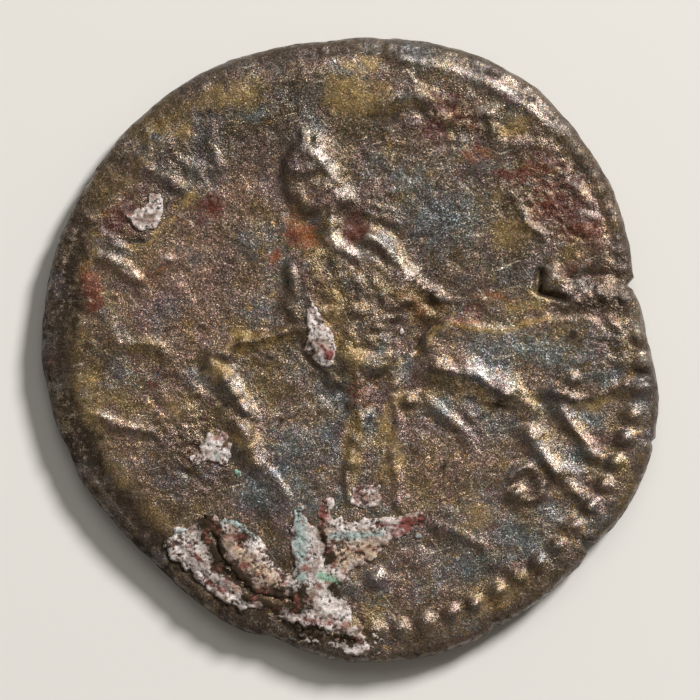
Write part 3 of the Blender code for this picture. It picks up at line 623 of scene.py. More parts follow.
CUPRITE_SPOTS = [
    (-9.2, 2.1, 0.6, 0.85, 0, 1.1), (-1.8, 3.9, 0.4, 0.4, -20, 0.8), (-2.8, 3.2, 0.3, 0.3, 0, 0.7),
    (0.3, 4.45, 0.4, 0.5, 0, 2.2), (-4.8, 5.1, 0.6, 0.7, 30, 1.2), (-8.1, 4.7, 0.8, 0.6, 30, 1.5),
    (3.6, 8.6, 1.0, 0.8, 0, 1.0), (2.9, 7.6, 0.5, 0.7, 20, 1.0), (7.6, 5.0, 1.0, 1.3, 0, 1.15),
    (8.0, 4.1, 0.7, 0.5, 0, 1.1), (6.0, 6.2, 0.8, 0.4, 0, 1.0), (5.7, 8.9, 0.5, 0.2, -30, 1.0),
    (6.9, 6.6, 0.9, 0.4, -20, 0.9), (4.4, 7.6, 0.6, 0.5, 0, 0.8), (7.6, 2.9, 0.7, 0.3, 0, 1.0),
    (8.2, 3.0, 0.8, 0.3, 0, 0.8), (4.3, 1.4, 0.5, 0.2, 0, 0.9), (-5.2, -2.2, 0.25, 0.6, 0, 0.9),
    (-6.8, -1.3, 0.3, 0.4, 0, 1.0), (-5.6, 4.8, 0.5, 0.2, 20, 0.7), (-5.4, -3.9, 0.6, 0.3, 0, 0.9),
    (-4.0, -7.7, 0.4, 0.4, 40, 1.2), (-1.2, -9.0, 1.2, 0.5, 0, 1.0), (0.3, -1.3, 0.3, 0.4, 0, 0.7),
    (-3.0, -8.8, 0.9, 0.3, -15, 1.2), (-6.9, 2.9, 0.3, 0.4, 0, 0.8), (-5.6, -3.6, 0.4, 0.4, 0, 0.8),
]
RUST_SPOTS = [
    (-1.6, 4.0, 0.55, 0.6, -20, 1.5), (-2.8, 3.2, 0.4, 0.5, 0, 1.2), (-9.1, 2.3, 0.6, 0.8, 0, 1.3),
    (7.2, 5.3, 0.9, 0.9, 0, 1.1), (8.0, 4.2, 0.6, 0.5, 0, 1.2), (6.4, 6.3, 0.9, 0.4, 0, 1.0),
    (3.8, 8.2, 0.9, 0.5, -20, 0.8), (2.6, 1.6, 0.8, 0.4, -10, 0.8), (0.3, -1.3, 0.4, 0.6, 0, 0.9),
    (0.3, 4.4, 0.3, 0.35, 0, 0.9),
    (-4.7, 4.9, 0.4, 0.4, 30, 1.0), (-6.5, 3.0, 0.5, 0.2, 20, 0.9), (4.0, 1.0, 0.8, 0.2, 0, 0.9),
    (4.4, 7.0, 1.0, 0.5, 0, 0.8), (-0.6, 3.9, 0.3, 0.3, 0, 0.8), (5.0, 1.9, 0.8, 0.5, 0, 0.8),
]
ROSE_SPOTS = [
    (-5.5, 2.5, 3.0, 2.6, 0, 1), (-3.5, 5.5, 2.0, 2.0, 0, 0.8), (-7.5, -3.5, 2.0, 2.0, 0, 0.7),
    (3.5, -4.0, 2.5, 1.2, 0, 0.6), (8.5, 4.5, 1.2, 3.0, 15, 0.8), (2.5, -7.5, 1.5, 1.2, 0, 0.6),
    (3.9, 0.3, 0.8, 0.5, 0, 0.8), (2.9, 1.0, 0.3, 0.5, 20, 1.2),
]
# Painted shade: broad darkening over the upper part of the face, where the light falls off, and a little at
# the lower left
PAINTED_FALLOFF_SPOTS = [
    (3.2, 5.0, 4.0, 3.2, 0, 0.82), (-2.5, 8.2, 5.0, 2.4, 5, 0.95), (-7.0, -6.0, 2.5, 2.0, 45, 0.3),
]
# Painted shadows, with a few real dark blots: dark marks on the side of the relief away from the lamp, left
# of the head, trunk, leg, spear, hand and shield, under the forearm and below strokes
DARK_SPOTS_AND_PAINTED_SHADOWS = [
    (-2.6, -2.4, 0.2, 0.2, 0, 1.2), (7.8, 0.4, 0.3, 0.25, 0, 1.2), (3.5, -4.1, 0.25, 0.25, 0, 1.1),
    (-7.4, 4.15, 0.35, 0.2, 0, 1.3), (4.6, 6.6, 0.6, 0.4, 0, 0.8), (1.6, 8.2, 0.8, 0.3, 10, 0.8),
    (-2.35, 6.2, 0.15, 0.6, 0, 1.0), (-2.35, 2.1, 0.2, 1.0, 0, 0.7), (-0.15, -2.0, 0.2, 0.8, 10, 1.0),
    (-5.1, -0.7, 0.2, 0.5, 0, 0.9), (1.3, -4.5, 0.12, 1.0, 0, 0.9), (-3.0, 0.05, 0.6, 0.15, 10, 1.0),
    (-7.4, 6.4, 0.5, 0.3, 0, 0.8), (6.9, -4.5, 0.2, 0.25, 0, 1.2), (7.6, -2.8, 0.2, 0.9, 30, 0.9),
    (-4.4, -7.4, 0.5, 1.3, 25, 1.5), (-4.4, -2.2, 0.2, 0.8, 15, 0.9), (-3.8, -3.8, 0.2, 0.5, 20, 0.9),
    (5.3, -1.7, 0.5, 0.2, -20, 1.0),
]
# Each stain: its spots on the upper face, and what the lower face has of it
upper = level < EDGE_RINGS / 2
bent_x = die_x + 0.35 * clouds(die_x, die_y, 0.9, 81, 4)
bent_y = die_y + 0.35 * clouds(die_x, die_y, 0.9, 91, 4)
under_stains = 0.5 + 0.5 * clouds(die_x, die_y, 3.0, 101)
stains = {
    "ochre": (OCHRE_SPOTS, 0.8 * under_stains),
    "toning": (BLUE_SPOTS, 0.8 - under_stains),
    "rust": (RUST_SPOTS, 0.0),
    "cuprite": (CUPRITE_SPOTS, 0.0),
    "rose": (ROSE_SPOTS, 1 - under_stains),
    "dimming_and_painted_falloff": (PAINTED_FALLOFF_SPOTS, 0.4 * under_stains),
    "soot_and_painted_shade": (DARK_SPOTS_AND_PAINTED_SHADOWS, 0.0),
}
# The edge is darkened with painted shade, most at the left, on the side that faces away from the
# lamp, and all round its outermost 0.3 mm. Earth clings just inside it at the left, and the
# rim's land is darker and dull all round
away_from_lamp = np.clip(-np.cos(np.arctan2(die_y, die_x) - math.radians(20)), 0, 1)
ragged_inset = inset + 0.5 * clouds(die_x, die_y, 1.2, 111, 4)
edge_painted_shade = 1.15 * away_from_lamp**0.6 * (1 - smooth_step(ragged_inset, 0.5, 1.9))
edge_painted_shade = np.maximum(edge_painted_shade, 0.9 - 3 * inset)
dull_land = 0.68 * (1 - smooth_step(inset + 0.25 * clouds(die_x, die_y, 0.6, 121, 4), 0.45, 0.85))
earthy_edge = 0.8 * away_from_lamp**0.4 * smooth_step(inset, 0.5, 1.0) * (1 - smooth_step(inset, 1.0, 2.2))
# Seams of colour: the attribute, half the width, the strength and the path
SEAMS = [
    ("cuprite", 0.14, 1.0, [(2.3, -0.3), (2.5, 0.5), (2.95, 0.95), (3.4, 1.2), (4.1, 1.1), (4.6, 1.3)]),
    ("ochre", 0.25, 1.1,
     [(2.75, 0.2), (3.0, 0.8), (3.6, 1.0), (4.4, 0.8), (5.4, 0.7), (6.2, 1.0), (7.0, 1.2)]),
    ("soot_and_painted_shade", 0.12, 1.2, [(2.35, 0.1), (2.5, 0.45), (2.9, 0.95)]),
    ("soot_and_painted_shade", 0.14, 1.0, [(8.3, 0.5), (9.9, 0.3)]),
    ("soot_and_painted_shade", 0.14, 2.0, [(6.75, 2.8), (6.7, 2.05), (7.6, 1.8)]),
    ("soot_and_painted_shade", 0.1, 1.0, [(-5.3, -1.8), (-5.1, -3.0)]),
    ("soot_and_painted_shade", 0.1, 1.0, [(-5.9, -4.1), (-5.3, -4.6), (-4.8, -4.9)]),
    ("cuprite", 0.15, 0.8, [(6.0, 5.6), (7.2, 5.8), (8.2, 5.2)]),
    ("ochre", 0.2, 1.0, [(-7.9, 3.7), (-7.0, 3.8), (-6.6, 4.4), (-6.1, 4.7)]),
    ("cuprite", 0.2, 0.7, [(-7.4, 2.4), (-6.8, 2.9)]),
    ("ochre", 0.3, 0.9, [(0.8, 8.6), (1.5, 8.8), (2.2, 9.0)]),
    ("soot_and_painted_shade", 0.1, 0.9, [(-1.1, -0.5), (-0.6, -0.9), (-0.3, -1.4)]),
]
# Pale streaks, partly what is left of the silver wash and partly painted highlight laid where the relief
# glints under the lamp: half the width, the strength and the path of each streak
SILVER_AND_PAINTED_GLINT_STREAKS = [
    (0.8, 1.6, [(-1.4, 7.3), (-1.0, 7.0), (-0.75, 6.6), (-0.35, 6.0), (-0.05, 5.6)]),
    (0.6, 1.6, [(-0.6, 4.7), (-0.55, 4.0), (-0.2, 3.6), (0.5, 3.4), (0.9, 3.3)]),
    (0.65, 1.6, [(0.7, 4.1), (1.2, 3.8), (1.7, 3.3), (2.2, 2.8)]), (0.2, 1.0, [(2.3, 2.7), (3.2, 2.3)]),
    (0.5, 1.1, [(4.6, -0.6), (5.1, -0.9), (5.6, -1.3)]), (0.3, 1.0, [(3.2, -0.5), (4.0, -0.7)]),
    (0.45, 1.3, [(6.6, -3.1), (7.0, -3.6), (7.4, -4.1)]),
    (0.3, 1.3, [(8.6, -1.5), (9.2, -1.3), (9.6, -1.2)]),
    (0.35, 1.2, [(7.5, -1.2), (7.8, -1.6)]), (0.2, 1.0, [(7.6, -2.1), (8.0, -2.8), (8.4, -3.4)]),
    (0.3, 1.2, [(-3.9, -0.9), (-3.7, -1.6), (-3.6, -1.9)]),
    (0.3, 1.1, [(-3.7, -2.6), (-3.3, -3.2), (-3.0, -3.7)]),
    (0.25, 1.0, [(-2.6, -4.2), (-2.0, -5.0)]), (0.35, 1.4, [(-8.5, 1.2), (-8.1, 0.55), (-7.4, 0.3)]),
    (0.25, 1.1, [(-7.4, 0.3), (-6.5, 0.0)]), (0.25, 1.1, [(-9.6, -0.4), (-9.3, -0.6)]),
    (0.2, 1.3, [(-6.9, 7.6), (-6.2, 7.35)]), (0.22, 1.3, [(-6.2, 7.3), (-5.9, 6.95)]),
    (0.25, 1.2, [(-5.9, 6.8), (-5.2, 6.2)]), (0.25, 1.2, [(-6.4, 6.4), (-5.75, 5.75)]),
    (0.25, 1.2, [(-4.8, 7.7), (-4.75, 7.0), (-4.5, 6.5)]), (0.2, 1.0, [(-8.4, 5.4), (-7.8, 5.3)]),
    (0.3, 1.3, [(-8.3, 3.25), (-7.9, 2.95), (-7.5, 2.65)]), (0.25, 1.2, [(-6.6, 3.35), (-6.1, 3.2)]),
    (0.2, 1.0, [(-9.0, 4.7), (-8.5, 4.2), (-8.0, 3.75)]),
    (0.3, 1.3, [(-8.6, -2.25), (-7.8, -2.5), (-7.1, -2.65)]),
    (0.25, 1.5, [(1.8, 10.4), (2.9, 10.25), (4.2, 9.85), (5.3, 9.35), (6.4, 8.6), (7.4, 7.7)]),
    (0.22, 1.2, [(7.4, 7.7), (8.2, 6.7), (8.9, 5.7), (9.3, 4.8)]), (0.3, 1.1, [(0.6, 10.6), (1.4, 10.5)]),
    (0.4, 1.2, [(8.1, 2.25), (9.0, 2.15), (9.8, 1.85)]), (0.35, 1.1, [(7.1, 2.8), (7.4, 2.5)]),
    (0.3, 1.2, [(1.3, 8.7), (2.2, 9.05), (3.0, 8.7), (3.3, 8.4)]), (0.4, 1.3, [(4.6, 8.5), (5.2, 8.4)]),
    (0.3, 1.3, [(4.9, 7.9), (5.3, 7.6)]), (0.2, 1.0, [(5.0, 7.5), (6.2, 7.4)]),
    (0.2, 1.2, [(7.3, 6.4), (7.6, 6.1), (8.0, 5.8), (8.4, 5.6)]), (0.35, 1.1, [(8.1, 4.9), (8.6, 4.9)]),
    (0.25, 1.2, [(6.1, 5.3), (6.2, 4.9), (6.4, 4.5), (6.9, 4.1)]), (0.3, 1.1, [(1.0, 1.2), (1.4, 1.2)]),
    (0.25, 1.1, [(3.0, 2.0), (3.4, 1.8)]), (0.25, 1.0, [(2.0, 1.9), (2.2, 1.8)]),
    (0.4, 1.3, [(0.9, -7.8), (1.0, -7.85)]),
    (0.35, 1.2, [(10.0, 0.9), (10.2, 0.4), (10.3, -0.3)]), (0.3, 1.0, [(9.4, -4.5), (9.0, -5.3)]),
    (0.3, 0.9, [(5.7, -4.9), (6.2, -5.1)]), (0.2, 0.9, [(3.3, -2.0), (4.1, -2.75)]),
]
silver_and_painted_glint = highest(ridge(die_x, die_y, reach, reach, *streak) for reach, *streak in SILVER_AND_PAINTED_GLINT_STREAKS)
silver_and_painted_glint = np.where(upper, silver_and_painted_glint * np.clip(0.75 + 0.9 * clouds(die_x, die_y, 0.5, 131, 3), 0, 1), 0)
# Dirt has gathered at the feet of the relief
outward = drawn[:, 2] * np.where(upper, 1, -1)
feet = np.clip((neighbour_mean(outward, edges, FOOT_ROUNDS) - outward) * FOOT_GAIN, 0, 0.8)
# The crests have kept patches of a polished silver skin, which carry little of the dirt and the painted
# shade
POLISH_ROUNDS = 8
POLISH_GAIN = 14
POLISH_CLEARS = 0.7
polish = np.clip((outward - neighbour_mean(outward, edges, POLISH_ROUNDS)) * POLISH_GAIN, 0, 1)
polish = polish * np.clip(0.6 + 0.9 * clouds(die_x, die_y, 0.5, 131, 3), 0.1, 1)
corroded = np.where(upper, patches(bent_x, bent_y, CORRODED), 0) * np.clip(1 - 0.6 * silver_and_painted_glint, 0, 1)


def store(mesh, name, values):
    """Keeps a value at each point of the mesh, for its material to read."""
    channel = mesh.attributes.new(name, "FLOAT", "POINT")
    channel.data.foreach_set("value", values.astype(np.float32))


store(coin_mesh, "polish", polish)
store(coin_mesh, "corroded", corroded)
store(coin_mesh, "silver_and_painted_glint", silver_and_painted_glint)
for name, (spots, lower_face) in stains.items():
    stained = np.where(upper, patches(bent_x, bent_y, spots), lower_face)
    for stain, half_width, strength, way in SEAMS:
        if stain == name:
            seam = ridge(die_x, die_y, half_width, half_width, strength, way)
            stained = np.where(upper, np.maximum(stained, seam), stained)
    # Soot also takes the painted shade of the edge, and below, the darker rim land
    if name == "soot_and_painted_shade":
        stained = np.maximum(stained, edge_painted_shade)
    if name == "ochre":
        stained = np.maximum(stained, np.maximum(feet, earthy_edge))
    if name in ("ochre", "soot_and_painted_shade"):
        stained = stained * (1 - POLISH_CLEARS * polish) * np.clip(1 - silver_and_painted_glint, 0, 1)
    if name == "soot_and_painted_shade":
        stained = np.maximum(stained, dull_land)
    store(coin_mesh, name, stained)


def linear(code):
    """A colour written as an sRGB hex value, as Blender's shaders want it."""
    shares = [int(code[i:i + 2], 16) / 255 for i in (1, 3, 5)]
    return [v / 12.92 if v <= 0.04045 else ((v + 0.055) / 1.055) ** 2.4 for v in shares] + [1.0]


def add(tree, kind, inputs=(), **settings):
    """Adds a node with its settings, and sets or links its inputs. A MapRange takes its value as
    input 0 and turns the range of 1 and 2 into that of 3 and 4. A Mix of colours takes its share
    as input 0 and its two colours as 6 and 7, and gives output 2."""
    made = tree.nodes.new("ShaderNode" + kind)
    for name, value in settings.items():
        setattr(made, name, value)
    for key, value in dict(inputs).items():
        if isinstance(value, bpy.types.NodeSocket):
            tree.links.new(value, made.inputs[key])
        else:
            made.inputs[key].default_value = value
    return made.outputs


# Worn silver-washed bronze: a brown metal whose crystals glitter one by one, with a bright skin
# on its crests, under steel-blue toning, and under earth and red copper oxide that have no shine.
# Its patterns have these sizes in mm. Real crystals, grit and cleaning scratches are finer than
# that, and are drawn one or two pixels wide so that they show.
CRYSTAL_SIZE = 0.038
GRIT_SIZE = 0.05
HAIRLINE_SIZE = 0.1
CRUMB_SIZE = 0.2
STAIN_EDGE_SIZE = 0.3
MOTTLE_SIZE = 0.5
CLOUD_SIZE = 2.0
# How deep they are in mm, how far a crystal leans, and how drawn out a scratch is
GRIT_DEPTH = 0.02
STAIN_DEPTH = 0.05
CRUMB_DEPTH = 0.12
CRYSTAL_LEAN = 0.36
HAIRLINE_SQUEEZE = 0.09
coin_metal = bpy.data.materials.new("silver_washed_bronze")
coin_metal.use_nodes = True
tree = coin_metal.node_tree
shader = tree.nodes["Principled BSDF"]
place = add(tree, "TexCoord")["Object"]
crystals = add(tree, "TexVoronoi", {"Vector": place, "Scale": MM / CRYSTAL_SIZE})
grit = add(tree, "TexNoise", {"Vector": place, "Scale": MM / GRIT_SIZE, "Detail": 2.0,
                              "Roughness": 0.7})
mottle = add(tree, "TexNoise", {"Vector": place, "Scale": MM / MOTTLE_SIZE, "Detail": 6.0,
                                "Roughness": 0.7})
broad = add(tree, "TexNoise", {"Vector": place, "Scale": MM / CLOUD_SIZE, "Detail": 5.0,
                               "Roughness": 0.6})
ragged = add(tree, "TexNoise", {"Vector": place, "Scale": MM / STAIN_EDGE_SIZE, "Detail": 5.0,
                                "Roughness": 0.75})
umber_to_taupe = add(tree, "MapRange", {0: mottle["Fac"], 1: 0.35, 2: 0.65})[0]
base = add(tree, "Mix", {0: umber_to_taupe, 6: linear("#5d4c38"), 7: linear("#837160")},
           data_type="RGBA")[2]
# Clouds of olive, steel grey and violet tarnish drift over the whole face, with specks of
# ochre and pale blue: the colour, the size in mm, the seed, the threshold and the strength
TARNISH = [("#7d6a3e", 1.3, 3.0, 0.48, 0.7), ("#5f6c74", 1.7, 7.0, 0.48, 0.6),
           ("#6e5358", 1.0, 11.0, 0.48, 0.55), ("#a07a2c", 0.3, 17.0, 0.56, 0.75),
           ("#86a0ab", 0.25, 23.0, 0.58, 0.6)]
for colour, size, seed, start, amount in TARNISH:
    drift = add(tree, "TexNoise", {"Vector": place, "W": seed, "Scale": MM / size, "Detail": 6.0,
                                   "Roughness": 0.7}, noise_dimensions="4D")
    veil = add(tree, "MapRange", {0: drift["Fac"], 1: start, 2: start + 0.16, 3: 0.0, 4: amount})[0]
    base = add(tree, "Mix", {0: veil, 6: base, 7: linear(colour)}, data_type="RGBA")[2]
# Each stain: its attribute, how ragged it is, where it starts and is full, strength and colour
STAINS = [
    # The first stain is painted shade on the upper face, darker where the light falls off; the lower face
    # gets a little of it in random clouds
    ("dimming_and_painted_falloff", 0.8, 0.0, 1.0, 0.62, "#2f2a24"),
    ("rose", 1.4, 0.3, 1.1, 0.45, "#8a6a5c"), ("toning", 2.4, 0.3, 1.1, 0.6, "#64757a"),
    ("ochre", 2.2, 0.3, 1.1, 0.75, "#8a703a"), ("rust", 3.2, 0.4, 1.0, 0.8, "#7c451d"),
    ("cuprite", 3.6, 0.4, 1.0, 0.85, "#471a14"),
    # The silver stain is pale colour, partly the silver wash and partly painted highlight; the soot stain
    # is partly real soot and cracks and partly painted shade
    ("silver_and_painted_glint", 4.5, 0.5, 1.5, 0.42, "#bbb3a8"), ("soot_and_painted_shade", 2.0, 0.3, 1.0, 0.96, "#251a0b"),
]
masks = {}
for name, spread, start, full, strength, colour in STAINS:
    amount = add(tree, "Attribute", attribute_name=name)["Fac"]
    centred = add(tree, "Math", {0: ragged["Fac"], 1: 0.5}, operation="SUBTRACT")[0]
    torn = add(tree, "Math", {0: centred, 1: spread, 2: amount}, operation="MULTIPLY_ADD")[0]
    masks[name] = add(tree, "MapRange", {0: torn, 1: start, 2: full, 3: 0.0, 4: strength})[0]
    base = add(tree, "Mix", {0: masks[name], 6: base, 7: linear(colour)}, data_type="RGBA")[2]
# Broad clouds of thin dirt lie over it all
dirt = add(tree, "MapRange", {0: broad["Fac"], 1: 0.5, 2: 0.35, 3: 0.0, 4: 0.5})[0]
base = add(tree, "Mix", {0: dirt, 6: base, 7: linear("#33261b")}, data_type="RGBA")[2]
# The corroded parts crumble in dark and pale grains
corrosion = add(tree, "Attribute", attribute_name="corroded")["Fac"]
crumbs = add(tree, "TexNoise", {"Vector": place, "Scale": MM / CRUMB_SIZE, "Detail": 3.0,
                                "Roughness": 0.7})["Fac"]
dark_crumbs = add(tree, "MapRange", {0: crumbs, 1: 0.5, 2: 0.38, 3: 0.0, 4: 0.7})[0]
dark_crumbs = add(tree, "Math", {0: dark_crumbs, 1: corrosion}, operation="MULTIPLY")[0]
base = add(tree, "Mix", {0: dark_crumbs, 6: base, 7: linear("#2c2119")}, data_type="RGBA")[2]
pale_crumbs = add(tree, "MapRange", {0: crumbs, 1: 0.56, 2: 0.66, 3: 0.0, 4: 0.6})[0]
pale_crumbs = add(tree, "Math", {0: pale_crumbs, 1: corrosion}, operation="MULTIPLY")[0]
base = add(tree, "Mix", {0: pale_crumbs, 6: base, 7: linear("#a99a84")}, data_type="RGBA")[2]
# Grit makes each spot a little lighter or darker, and shifts its hue
speckle = add(tree, "MapRange", {0: grit["Fac"], 1: 0.3, 2: 0.7, 3: 0.3, 4: 1.6})[0]
hues = add(tree, "VectorMath", {0: grit["Color"], 1: (0.5, 0.5, 0.5)}, operation="ADD")[0]
hues = add(tree, "VectorMath", {0: hues, "Scale": speckle}, operation="SCALE")[0]
base = add(tree, "Mix", {0: 1.0, 6: base, 7: hues}, data_type="RGBA", blend_type="MULTIPLY")[2]
# Where earth, oxide, soot or painted shade lies, little metal is left to shine
earthy = masks["ochre"]
for name in ("rust", "cuprite", "soot_and_painted_shade"):
    earthy = add(tree, "Math", {0: earthy, 1: masks[name]}, operation="MAXIMUM")[0]
# Hairline scratches from cleaning, lying two ways, where the metal has no stain: the turn in
# radians and the seed
clean = add(tree, "MapRange", {0: earthy, 1: 0.1, 2: 0.5, 3: 1.0, 4: 0.0})[0]
for turn, seed in ((-0.3, 5.0), (0.9, 9.0)):
    turned = add(tree, "VectorRotate", {"Vector": place, "Angle": turn}, rotation_type="Z_AXIS")[0]
    drawn_out = add(tree, "VectorMath", {0: turned, 1: (HAIRLINE_SQUEEZE, 1.0, 1.0)},
                    operation="MULTIPLY")[0]
    hairs = add(tree, "TexNoise", {"Vector": drawn_out, "W": seed, "Scale": MM / HAIRLINE_SIZE,
                                   "Detail": 0.0}, noise_dimensions="4D")
    scratch = add(tree, "MapRange", {0: hairs["Fac"], 1: 0.76, 2: 0.8, 3: 0.0, 4: 0.35})[0]
    scratch = add(tree, "Math", {0: scratch, 1: clean}, operation="MULTIPLY")[0]
    base = add(tree, "Mix", {0: scratch, 6: base, 7: linear("#cdbfa6")}, data_type="RGBA")[2]

metallic = add(tree, "MapRange", {0: earthy, 1: 0.0, 2: 0.9, 3: 0.85, 4: 0.1})[0]
rough = add(tree, "MapRange", {0: mottle["Fac"], 1: 0.35, 2: 0.65, 3: 0.46, 4: 0.32})[0]
rough = add(tree, "Math", {0: masks["soot_and_painted_shade"], 1: rough}, operation="MAXIMUM")[0]
bump = add(tree, "Bump", {"Strength": 0.5, "Distance": GRIT_DEPTH / MM, "Height": grit["Fac"]})[0]
bump = add(tree, "Bump", {"Strength": 0.6, "Distance": STAIN_DEPTH / MM, "Height": ragged["Fac"],
                          "Normal": bump})[0]
depth = add(tree, "Math", {0: corrosion, 1: CRUMB_DEPTH / MM}, operation="MULTIPLY")[0]
bump = add(tree, "Bump", {"Strength": 0.7, "Distance": depth, "Height": crumbs, "Normal": bump})[0]
# Every crystal leans its own way, which makes the metal glitter
lean = add(tree, "VectorMath", {0: crystals["Color"], 1: (0.5, 0.5, 0.5)}, operation="SUBTRACT")[0]
lean = add(tree, "VectorMath", {0: lean, "Scale": CRYSTAL_LEAN}, operation="SCALE")[0]
facets = add(tree, "VectorMath", {0: bump, 1: lean}, operation="ADD")[0]
facets = add(tree, "VectorMath", {0: facets}, operation="NORMALIZE")[0]
tree.links.new(base, shader.inputs["Base Color"])
tree.links.new(metallic, shader.inputs["Metallic"])
tree.links.new(rough, shader.inputs["Roughness"])
tree.links.new(facets, shader.inputs["Normal"])
tree.links.new(facets, shader.inputs["Coat Normal"])
# The skin of silver is a coat, strong on the polished crests and thin elsewhere
silvered = add(tree, "Attribute", attribute_name="polish")["Fac"]
silvered = add(tree, "MapRange", {0: silvered, 1: 0.0, 2: 0.8, 3: 0.3, 4: 0.85})[0]
bare = add(tree, "MapRange", {0: earthy, 1: 0.0, 2: 0.7, 3: 1.0, 4: 0.08})[0]
coat = add(tree, "Math", {0: silvered, 1: bare}, operation="MULTIPLY")[0]
tree.links.new(coat, shader.inputs["Coat Weight"])
shader.inputs["Coat Roughness"].default_value = 0.22
shader.inputs["Specular IOR Level"].default_value = 0.35
coin_mesh.materials.append(coin_metal)
coin = bpy.data.objects.new("struck_coin", coin_mesh)
bpy.context.scene.collection.objects.link(coin)
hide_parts("coin")
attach(coin, "root")

# The crust is lime and copper salts that the ground left on the coin, mostly at its lower left.
# It is a thin, chalky, crumbling layer with its underside sunk into the metal, and it is cut from
# a grid with this cell and these west, south, east and north ends.
CRUST_CELL = 0.038
CRUST_BOX = (-7.9, -11.0, 3.2, 5.8)
CRUST_THICKNESS = 0.11
CRUST_SUNK = 0.03
CRUST_DEPTH = 0.1
# The share of its thickness below which the crust has crumbled away, how much its lumps count in
# that, and how far in from the coin's edge it ends
CRUST_EDGE = 0.35
CRUST_TEAR = 6
CRUST_MARGIN = 0.05


def crust_lumps(x, y):
    """The crumbling of the crust, in mm up or down: round lumps with creases between them."""
    rounded = np.abs(clouds(x, y, 0.5, 221, 3)) - 0.25
    return 0.1 * rounded + 0.05 * clouds(x, y, 1.1, 225, 3) + 0.02 * clouds(x, y, 0.14, 231, 2)


def crust_share(x, y):
    """How thick the crust is at each point, as a share of its thickness."""
    main = [(-6.6, -6.5), (-5.5, -6.0), (-4.5, -5.65), (-3.3, -6.2), (-2.8, -6.95), (-2.1, -7.5),
            (-2.05, -6.4), (-2.0, -5.35), (-1.5, -5.45), (-1.25, -6.0), (-1.15, -5.2), (-0.85, -4.9),
            (-0.45, -5.1), (-0.4, -5.8), (0.6, -5.8), (1.7, -5.65), (2.4, -5.4), (3.05, -5.6),
            (3.0, -6.15), (2.4, -6.5), (1.6, -6.65),
            (0.7, -7.4), (0.1, -8.0), (0.1, -8.8), (0.35, -9.4), (-0.1, -9.9), (-1.2, -9.9),
            (-2.4, -9.4), (-3.4, -9.1), (-4.9, -8.5), (-5.8, -7.6), (-6.4, -6.9)]
    drop = [(-1.4, 1.75), (-1.1, 1.55), (-0.85, 1.0), (-0.55, 0.6), (-0.4, 0.1), (-0.5, -0.4),
            (-0.8, -0.62), (-1.1, -0.45), (-1.4, -0.15), (-1.75, -0.1), (-1.5, 0.5), (-1.5, 1.1)]
    square = [(0.1, -4.85), (0.3, -4.4), (0.65, -4.6), (1.1, -4.45), (1.15, -5.35), (0.6, -5.55),
              (0.05, -5.4)]
    upper_left = [(-7.0, 5.65), (-6.55, 5.5), (-6.5, 4.8), (-6.8, 4.3), (-7.5, 4.35), (-7.9, 4.85),
                  (-7.3, 5.15)]
    beside_shield = [(-5.8, -3.5), (-5.2, -3.1), (-4.9, -2.6), (-4.3, -2.7), (-4.05, -3.4), (-4.3, -4.1),
                     (-4.9, -3.9), (-5.4, -4.0)]
    tail = [(-1.8, -9.8), (0.2, -9.5), (0.9, -9.8), (1.7, -10.1), (1.3, -10.6), (0.5, -10.75),
            (-0.9, -10.4)]
    crumbs = [((-0.5, -10.3), (0.4, 0.2)), ((0.6, -10.4), (0.4, 0.25)), ((1.1, -10.55), (0.3, 0.15)),
              ((1.2, -10.2), (0.2, 0.15)), ((-3.9, -4.3), (0.18, 0.32)), ((2.45, -6.45), (0.22, 0.15)),
              ((1.85, 0.7), (0.14, 0.17)),
              ((-1.6, -10.2), (0.5, 0.12)), ((4.2, 1.3), (0.18, 0.12)), ((-5.9, -6.25), (0.35, 0.15))]
    arms = [(0.35, 0.45, 1.4, [(-6.3, -6.7), (-5.7, -7.4), (-4.9, -8.1), (-3.8, -8.8)]),
            (0.5, 0.5, 1.4, [(-4.9, -6.2), (-4.0, -6.8), (-3.2, -7.6), (-2.2, -8.4)]),
            (0.4, 0.4, 1.4, [(-1.7, -5.5), (-1.65, -8.6)]),
            (0.42, 0.42, 1.4, [(-0.78, -5.35), (-0.8, -6.8)]),
            (0.3, 0.4, 1.3, [(-0.5, -6.0), (0.8, -6.0), (2.6, -5.9)]),
            (0.42, 0.42, 1.4, [(1.9, -5.95), (2.6, -5.85)])]
    hollows = [(0.14, 1.3, [(-1.3, -5.4), (-1.27, -6.0)]), (0.3, 1.0, [(-0.45, -8.2), (0.0, -8.5)]),
               (0.3, 0.75, [(-4.85, -6.2), (-4.6, -7.0), (-4.4, -7.5), (-4.0, -8.0), (-3.4, -8.5)]),
               (0.2, 0.6, [(-3.4, -8.5), (-2.6, -8.7), (-1.8, -8.8)]),
               (0.2, 0.4, [(-2.7, -9.2), (-1.0, -9.1)])]
    return highest([
        raised_shape(x, y, main, 0.85, 0.6),
        raised_shape(x, y, drop, 1.0, 0.15),
        raised_shape(x, y, square, 0.9, 0.15),
        raised_shape(x, y, upper_left, 0.9, 0.15),
        raised_shape(x, y, beside_shield, 0.55, 0.15),
        raised_shape(x, y, tail, 0.38, 0.15),
        *[mound(x, y, *crumb, 0.9) for crumb in crumbs],
        *[ridge(x, y, *arm) for arm in arms],
    ]) - highest(ridge(x, y, reach, reach, *hollow) for reach, *hollow in hollows)


